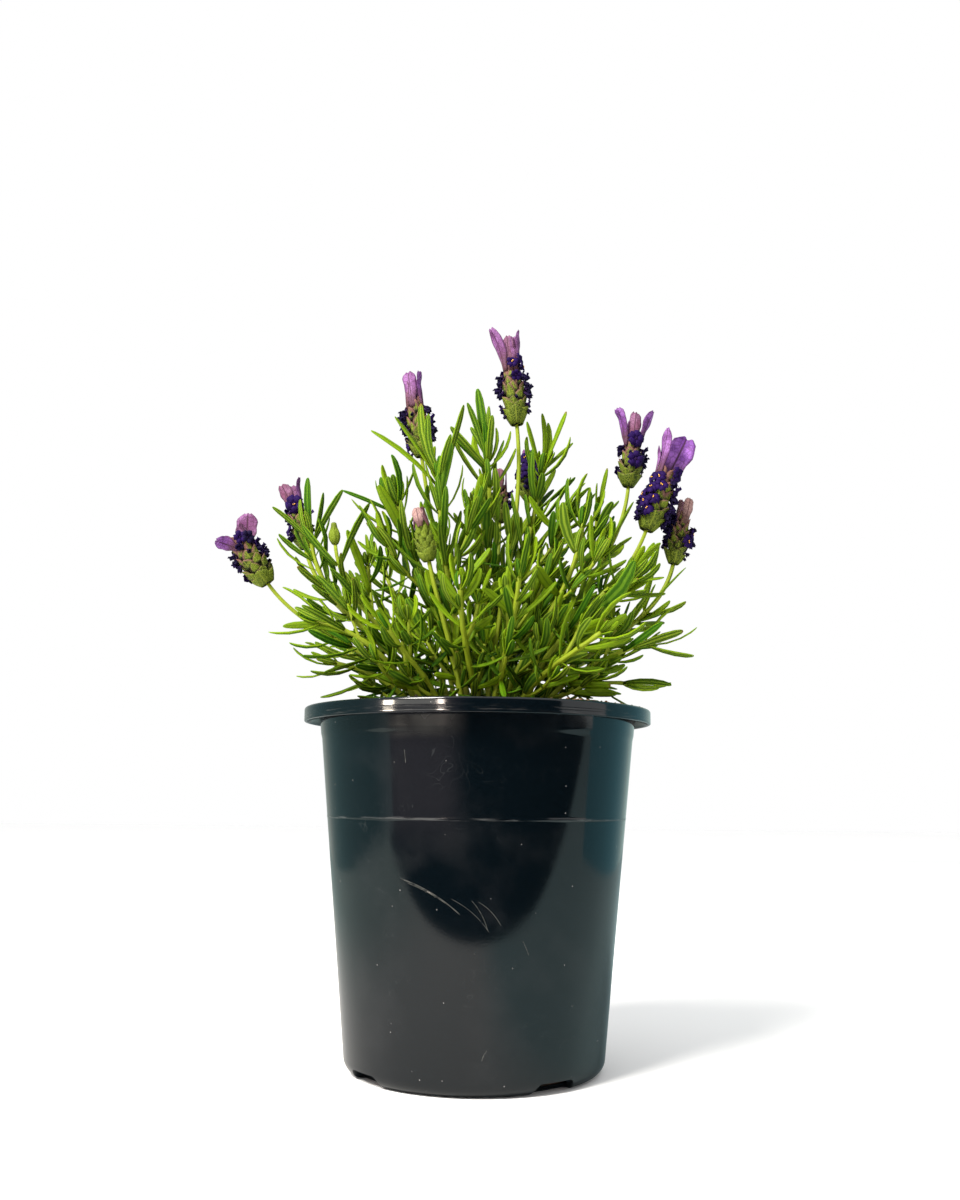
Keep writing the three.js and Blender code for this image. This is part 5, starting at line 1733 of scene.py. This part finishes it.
SPIKE_MATERIALS = [scale_material(), petal_material(), anther_material()]
for index, (name, length, girth, number, _) in enumerate(HEADS):
    rng = np.random.default_rng(index + 500)
    stand = stand_of(name)
    is_bud = name == "left_bud"
    if is_bud:
        rows, ripe, closed = BUD_ROWS, -1, 1
    elif number:
        rows, ripe, closed = SCALE_ROWS, 1, 0
    else:
        rows, ripe, closed = SCALE_ROWS, -0.4, YOUNG_CLOSED
    parts = [core_part(stand, length, girth, ripe), scale_part(stand, length, girth, rows, ripe, closed, rng)]
    if number:
        florets = with_withered(FLORETS[name]) + hidden_florets(length, number)
        parts += floret_parts(stand, girth, length, florets, rng)
    mesh = mesh_of_parts("spike_of_" + name, parts)
    node = "bud_left" if is_bud else "spike_" + name
    new_piece("flower_" + name, mesh, SPIKE_MATERIALS, "flower_spike", node)

# ---------------------------------------------------------------- tufts of bracts
# On top of each spike stand a few thin mauve bracts, veined and ruffled like petals, pinkish brown at
# the foot. They grow from the end of the spike's core.
BRACT_FOOT = 6.5  # below the top of the spike
BRACT_THICKNESS = 0.22
BRACT_ROWS = 13
BRACT_COLUMNS = 9
BRACT_THINNESS = 0.35  # share of the light that comes through
BROADEST = 0.76  # the widest place of a bract, as a share of its length
ROUND_BROADEST = 0.58  # on the head whose bracts are round
# Bearing in degrees from the front, length, width, lean outwards, tilt to the photo's right, curl
# towards the axis, ruffle in mm, and tone from pink to violet; below 0 it is cream.
BRACTS = {
    "top": [
        (-50, 30.5, 8.5, -3, -7, -40, 0.9, 0.5), (-8, 25, 7, -5, -1, 4, 0.9, 0.2),
        (32, 24, 6.5, -5, 3, 4, 0.9, 0.4), (66, 28, 5.5, -4, 4, -14, 0.8, 0.5),
        (170, 23, 8, -5, 0, 8, 0.5, 0.5),
    ],
    "upper_left": [
        (-16, 25, 8.5, -5, -2, 4, 0.9, 0.5), (60, 25, 6, -6, 3, -12, 0.7, 0.8),
        (-72, 20, 7, -5, -2, 4, 0.4, 0.2), (172, 22, 9, -6, 0, 6, 0.5, 0.5),
    ],
    "far_left": [
        (174, 22, 12.5, -2, 38, -8, 0.9, 0.4), (-20, 14.5, 8, 12, -30, -36, 0.8, 0.8),
        (60, 13, 7, 2, 4, -10, 0.6, 0.3), (-150, 15, 8, 0, -14, -12, 0.6, 0.6),
    ],
    "left_back": [
        (-20, 18.5, 9, -3, -13, -14, 0.9, 0.2), (60, 21.5, 4.6, -5, 1, -30, 0.5, 0.6),
        (180, 19, 8, -3, -4, 4, 0.5, 0.3),
    ],
    "front_young": [
        (-12, 12.5, 6.5, -11, -2, 4, 0.4, -0.4), (64, 12.5, 5.5, -11, 0, 0, 0.4, 0),
        (-96, 12, 5, -10, 0, 0, 0.4, 0.2), (176, 12, 6, -10, 0, 2, 0.4, 0.1),
    ],
    "middle_back": [
        (-30, 11, 5, -2, 0, 6, 0.4, 0.5), (60, 11, 5, -2, 0, -8, 0.4, 0.5),
        (180, 12, 6, -2, 0, 0, 0.4, 0.5),
    ],
    "hidden_back": [
        (0, 18, 6.5, -5, -2, 4, 0.4, 0), (96, 17, 5, -3, 0, -6, 0.4, 0.4),
        (-96, 17, 5, -3, 0, -6, 0.4, 0.4),
    ],
    "right_high": [
        (-56, 26, 7.5, 0, -10, -30, 0.9, 0.8), (0, 24, 7.5, -5, 1, 6, 0.9, 0.2),
        (56, 26, 7.5, -1, 10, -26, 0.9, 0.8), (178, 22, 7.5, -4, 0, 4, 0.5, 0.6),
    ],
    "right_big": [
        (174, 34, 16.5, -5, 7, 4, 1.5, 1.0), (-50, 34, 7, -5, -8, -14, 0.9, 0.7),
        (-84, 22, 5, -1, -8, -14, 0.5, 0.6),
    ],
    "right_low": [
        (16, 18, 6.5, -6, 3, 6, 0.5, -0.4), (-66, 16, 5.5, -5, 0, -6, 0.4, -0.2),
        (176, 17, 6.5, -4, 0, 4, 0.4, 0.2),
    ],
}


def bract_part(stand, length, girth, bracts, broadest, rng):
    """A plate as wide as a leaf's outline, carried along a line whose direction turns by the curl
    times v^2.4, with margins that lift and wave."""
    table = np.array(bracts, float)[..., None, None, None]
    bearing, lean, tilt, curl = (np.radians(table[:, column]) for column in (0, 3, 4, 5))
    long, wide, ruffle, tone = (table[:, column] for column in (1, 2, 6, 7))
    out = stand.bearing(bearing[..., 0])
    ahead = unit(stand.along * np.cos(lean) + out * np.sin(lean) + stand.right * np.tan(tilt))
    inward = square_to(-out, ahead)
    at_foot = spike_radius(girth, 1 - BRACT_FOOT / length) + 0.2
    foot = stand.base + stand.along * (length - BRACT_FOOT) + out * at_foot

    v = np.linspace(0, 1, BRACT_ROWS)[:, None, None]
    u = np.linspace(-1, 1, BRACT_COLUMNS)[:, None]
    turn = curl * v**2.4
    way = ahead * np.cos(turn) + inward * np.sin(turn)
    face = inward * np.cos(turn) - ahead * np.sin(turn)
    middle = foot + (np.cumsum(way, 1) - 0.5 * way) * long / v.size
    phase = rng.uniform(0, 2 * np.pi, (len(table), 1, 1, 1))
    half = 0.5 * wide * outline(v, 0.42, broadest, 1.02, 2.6) * (1 + 0.07 * np.sin(17 * v + phase))
    waves = np.abs(u) ** 1.5 * v * np.sin(9 * v + 2.2 * np.sign(u) + phase) + 0.14 * np.sin(6 * u + 5 * v)
    lift = 0.42 * half * (u**2 - 0.3) * (1.3 - v) + ruffle * waves
    ragged = 0.5 * ruffle * v**6 * np.sin(5 * u + 2 * phase)
    fronts = middle - np.cross(ahead, inward) * half * u + face * lift + ahead * ragged
    return shell_part(fronts, BRACT_THICKNESS, tone.ravel(), 0.0, 0)


def bract_material():
    """Mauve and papery, with branching veins darker than the rest and a pinkish-brown foot."""
    tree, where, finish = new_material("mauve_bracts", Specular_IOR_Level=0.2, Roughness=0.6)
    tone = attribute_of(tree, "tone")
    across, along, _ = coordinates(uv_of(tree))
    off_middle = abs(across * 2.0 - 1.0)
    net = ramp(cell_edges(where, 330.0), 0.10, 0.01) * 0.55
    ribs = ramp(abs(((off_middle * -0.55 + along) * 26.0).worked("SINE")), 0.16, 0.02) * 0.5
    veins = net.or_more(ribs).or_more(ramp(off_middle, 0.12, 0.03))
    foot = ramp(noise(where, 200) * 0.3 + along, 0.8, 0.25)

    mauve = mix(tone, linear(122, 72, 82), linear(112, 62, 144))
    pale = mix(tone, linear(148, 106, 122), linear(178, 120, 208))
    mauve = mix(ramp(noise(where, 130), 0.35, 0.65) * 0.7, mauve, pale)
    mauve = mix(ramp(off_middle, 0.76, 1.0) * 0.5, mauve, linear(70, 34, 70))
    mauve = mix(ramp(tone, 0.0, -0.8), mauve, linear(204, 172, 158))
    mauve = mix(veins * 0.85, mauve, linear(60, 28, 42))
    colour = mix(foot * 0.8, mauve, linear(80, 50, 42))
    material = finish(Base_Color=colour, Normal=bump(veins * -1.0, 0.12))
    solid = Value(tree.nodes["Principled BSDF"].outputs[0])
    both = put(tree, "MixShader", [BRACT_THINNESS, solid, put(tree, "BsdfTranslucent", [colour])])
    tree.links.new(both.socket, tree.nodes["Material Output"].inputs["Surface"])
    return material


BRACT = bract_material()
for index, (name, length, girth, *_) in enumerate(HEADS):
    if name in BRACTS:
        rng = np.random.default_rng(index + 700)
        broadest = ROUND_BROADEST if name == "far_left" else BROADEST
        part = bract_part(stand_of(name), length, girth, BRACTS[name], broadest, rng)
        mesh = mesh_of_parts("bracts_of_" + name, [part])
        new_piece("crown_bracts_" + name, mesh, [BRACT], "bract", "tuft_" + name)

# ---------------------------------------------------------------- camera
# The photograph's own viewing angle: low in front of the pot and tilted up a little, so that the
# rim's front hides the mix.


def placed(right, up, back, place):
    """The matrix of a camera or lamp with these three directions, at this place in millimetres."""
    matrix = np.eye(4)
    matrix[:3] = np.column_stack([right, up, back, np.array(place, float) * MM])
    return Matrix(matrix.tolist())


def photo_camera():
    right, up, ahead = camera_directions()
    lens = bpy.data.cameras.new("camera")
    lens.lens = CAMERA_LENS
    lens.sensor_width = CAMERA_SENSOR
    camera = new_object("camera", lens)
    camera.matrix_world = placed(right, up, -ahead, CAMERA_PLACE)
    return camera


bpy.context.scene.camera = photo_camera()

# ---------------------------------------------------------------- studio
# A pale floor under an even white surround, and one soft key light from the upper left in front. The
# rest shows in the pot's gloss only: black flags in front, a grey card round the foot, dim boards at
# the sides and behind, and bright bars that glint in the lip.
FLOOR_REACH = 6000
BOARD_TOP = 1700
BOARD_SIDE = 700
BOARD_BACK = 2600
FLAG_HALF = 2600
FLAG_NEAR = -310
FLAG_FAR = -1900
LEFT_NEAR = -380  # where the side boards begin
RIGHT_NEAR = -70
KEY_PLACE = (-900, -1000, 1500)
KEY_AIM = (0, 0, 230)
KEY_WIDTH = 800
KEY_WATTS = 92
KEY_COLOUR = (1.0, 0.96, 0.90)


def pale_floor():
    _, where, finish = new_material("pale_floor", Roughness=0.6, Specular_IOR_Level=0.2)
    return finish(Base_Color=mix(noise(where, 3.0), (0.955, 0.955, 0.955, 1), (0.975, 0.975, 0.975, 1)))


def glow(name, colour, far=None):
    """A sheet that shines by itself with the radiance given, or with one that turns into another from
    0.3 to 1.2 metres behind the pot."""
    shine = {"Emission_Color": (*colour, 1), "Emission_Strength": 1.0}
    _, where, finish = new_material(name, Base_Color=(0, 0, 0, 1), Specular_IOR_Level=0.0, **shine)
    if far is None:
        return finish()
    behind = ramp(coordinates(where)[1], 0.3, 1.2)
    return finish(Emission_Color=mix(behind, (*colour, 1), (*far, 1)))


def grey_card():
    """Grey, and bluer towards the sides, from nearer the middle at the right."""
    _, where, finish = new_material("grey_card", Roughness=1.0, Specular_IOR_Level=0.0)
    x = coordinates(where)[0]
    left = mix(ramp(x, -0.5, -0.08), (0.22, 0.28, 0.27, 1), (0.42, 0.42, 0.415, 1))
    return finish(Base_Color=mix(ramp(x, -0.01, 0.10), left, (0.24, 0.33, 0.34, 1)))


def lying(low_x, high_x, low_y, high_y, z):
    return [(low_x, low_y, z), (high_x, low_y, z), (high_x, high_y, z), (low_x, high_y, z)]


def standing(start, end):
    """From one point of the floor to another, as high as all boards."""
    return [(*start, 0), (*end, 0), (*end, BOARD_TOP), (*start, BOARD_TOP)]


def stage_sheet(name, corners, material):
    mesh = bpy.data.meshes.new(name)
    mesh.from_pydata(np.array(corners, float) * MM, [], [(0, 1, 2, 3)])
    mesh.materials.append(material)
    sheet = new_object(name, mesh)
    return sheet


def board(name, corners, material):
    """A sheet that only reflections show."""
    sheet = stage_sheet(name, corners, material)
    sheet.visible_camera = False
    sheet.visible_diffuse = False
    sheet.visible_transmission = False
    sheet.visible_shadow = False


stage_sheet("floor", lying(-FLOOR_REACH, FLOOR_REACH, -FLOOR_REACH, FLOOR_REACH, -0.3), pale_floor())

BLACK = glow("black_cloth", (0.003, 0.003, 0.003))
LEFT_SHEEN = glow("dark_teal", (0.20, 0.35, 0.35), (0.46, 0.53, 0.49))
RIGHT_SHEEN = glow("dim_sky", (0.19, 0.47, 0.55), (0.52, 0.70, 0.67))
BACK_SHEEN = glow("dim_grey", (0.42, 0.47, 0.46))
LEFT_BACK = (-BOARD_SIDE, BOARD_BACK)
RIGHT_BACK = (BOARD_SIDE, BOARD_BACK)
board("lying_flag", lying(-FLAG_HALF, FLAG_HALF, FLAG_FAR, FLAG_NEAR, 0.5), BLACK)
board("standing_flag", standing((-FLAG_HALF, FLAG_FAR), (FLAG_HALF, FLAG_FAR)), BLACK)
board("card", lying(-FLAG_HALF, FLAG_HALF, FLAG_NEAR, BOARD_BACK, 0.4), grey_card())
board("left_board", standing((-BOARD_SIDE, LEFT_NEAR), LEFT_BACK), LEFT_SHEEN)
board("right_board", standing((BOARD_SIDE, RIGHT_NEAR), RIGHT_BACK), RIGHT_SHEEN)
board("back_board", standing(LEFT_BACK, RIGHT_BACK), BACK_SHEEN)

# Bright upright bars, each with the bearings on the lip between which it is seen, and its radiance.
GLINT_AWAY = 700
GLINT_HALF = 45
GLINTS = [
    ("left", -28.6, -25.4, (66, 58, 47)),
    ("between", -25.4, -11.4, (2.2, 2.2, 2.0)),
    ("right", -11.4, -9.7, (55, 46, 40)),
]


def seen_in_lip(bearing):
    """The place that the lip reflects to the camera at this bearing, in degrees from its front."""
    turn = math.radians(bearing)
    normal = np.array([math.sin(turn), -math.cos(turn), 0])
    spot = RIM_RADIUS * normal + np.array([0, 0, POT_HEIGHT - LIP_DROP / 2])
    ahead = spot - np.array(CAMERA_PLACE)
    ahead /= np.linalg.norm(ahead)
    return spot + GLINT_AWAY * (ahead - 2 * (ahead @ normal) * normal)


for name, start, end, radiance in GLINTS:
    left, right = seen_in_lip(start), seen_in_lip(end)
    half = np.array([0, 0, GLINT_HALF])
    corners = [left - half, right - half, right + half, left + half]
    board("glint_" + name, corners, glow("sun_" + name, radiance))


def key_light():
    lamp = bpy.data.lights.new("key", "AREA")
    lamp.shape = "DISK"
    lamp.size = KEY_WIDTH * MM
    lamp.energy = KEY_WATTS
    lamp.color = KEY_COLOUR
    aim = np.array(KEY_AIM, float) - np.array(KEY_PLACE)
    back = -aim / np.linalg.norm(aim)
    right = np.cross((0, 0, 1), back)
    right /= np.linalg.norm(right)
    new_object("key", lamp).matrix_world = placed(right, np.cross(back, right), back, KEY_PLACE)


key_light()
world = bpy.data.worlds.new("surround")
world.use_nodes = True
surround = world.node_tree.nodes["Background"]
surround.inputs["Color"].default_value = (1.0, 1.0, 1.0, 1)
surround.inputs["Strength"].default_value = 1.0
bpy.context.scene.world = world
bpy.context.scene.view_settings.view_transform = "Standard"
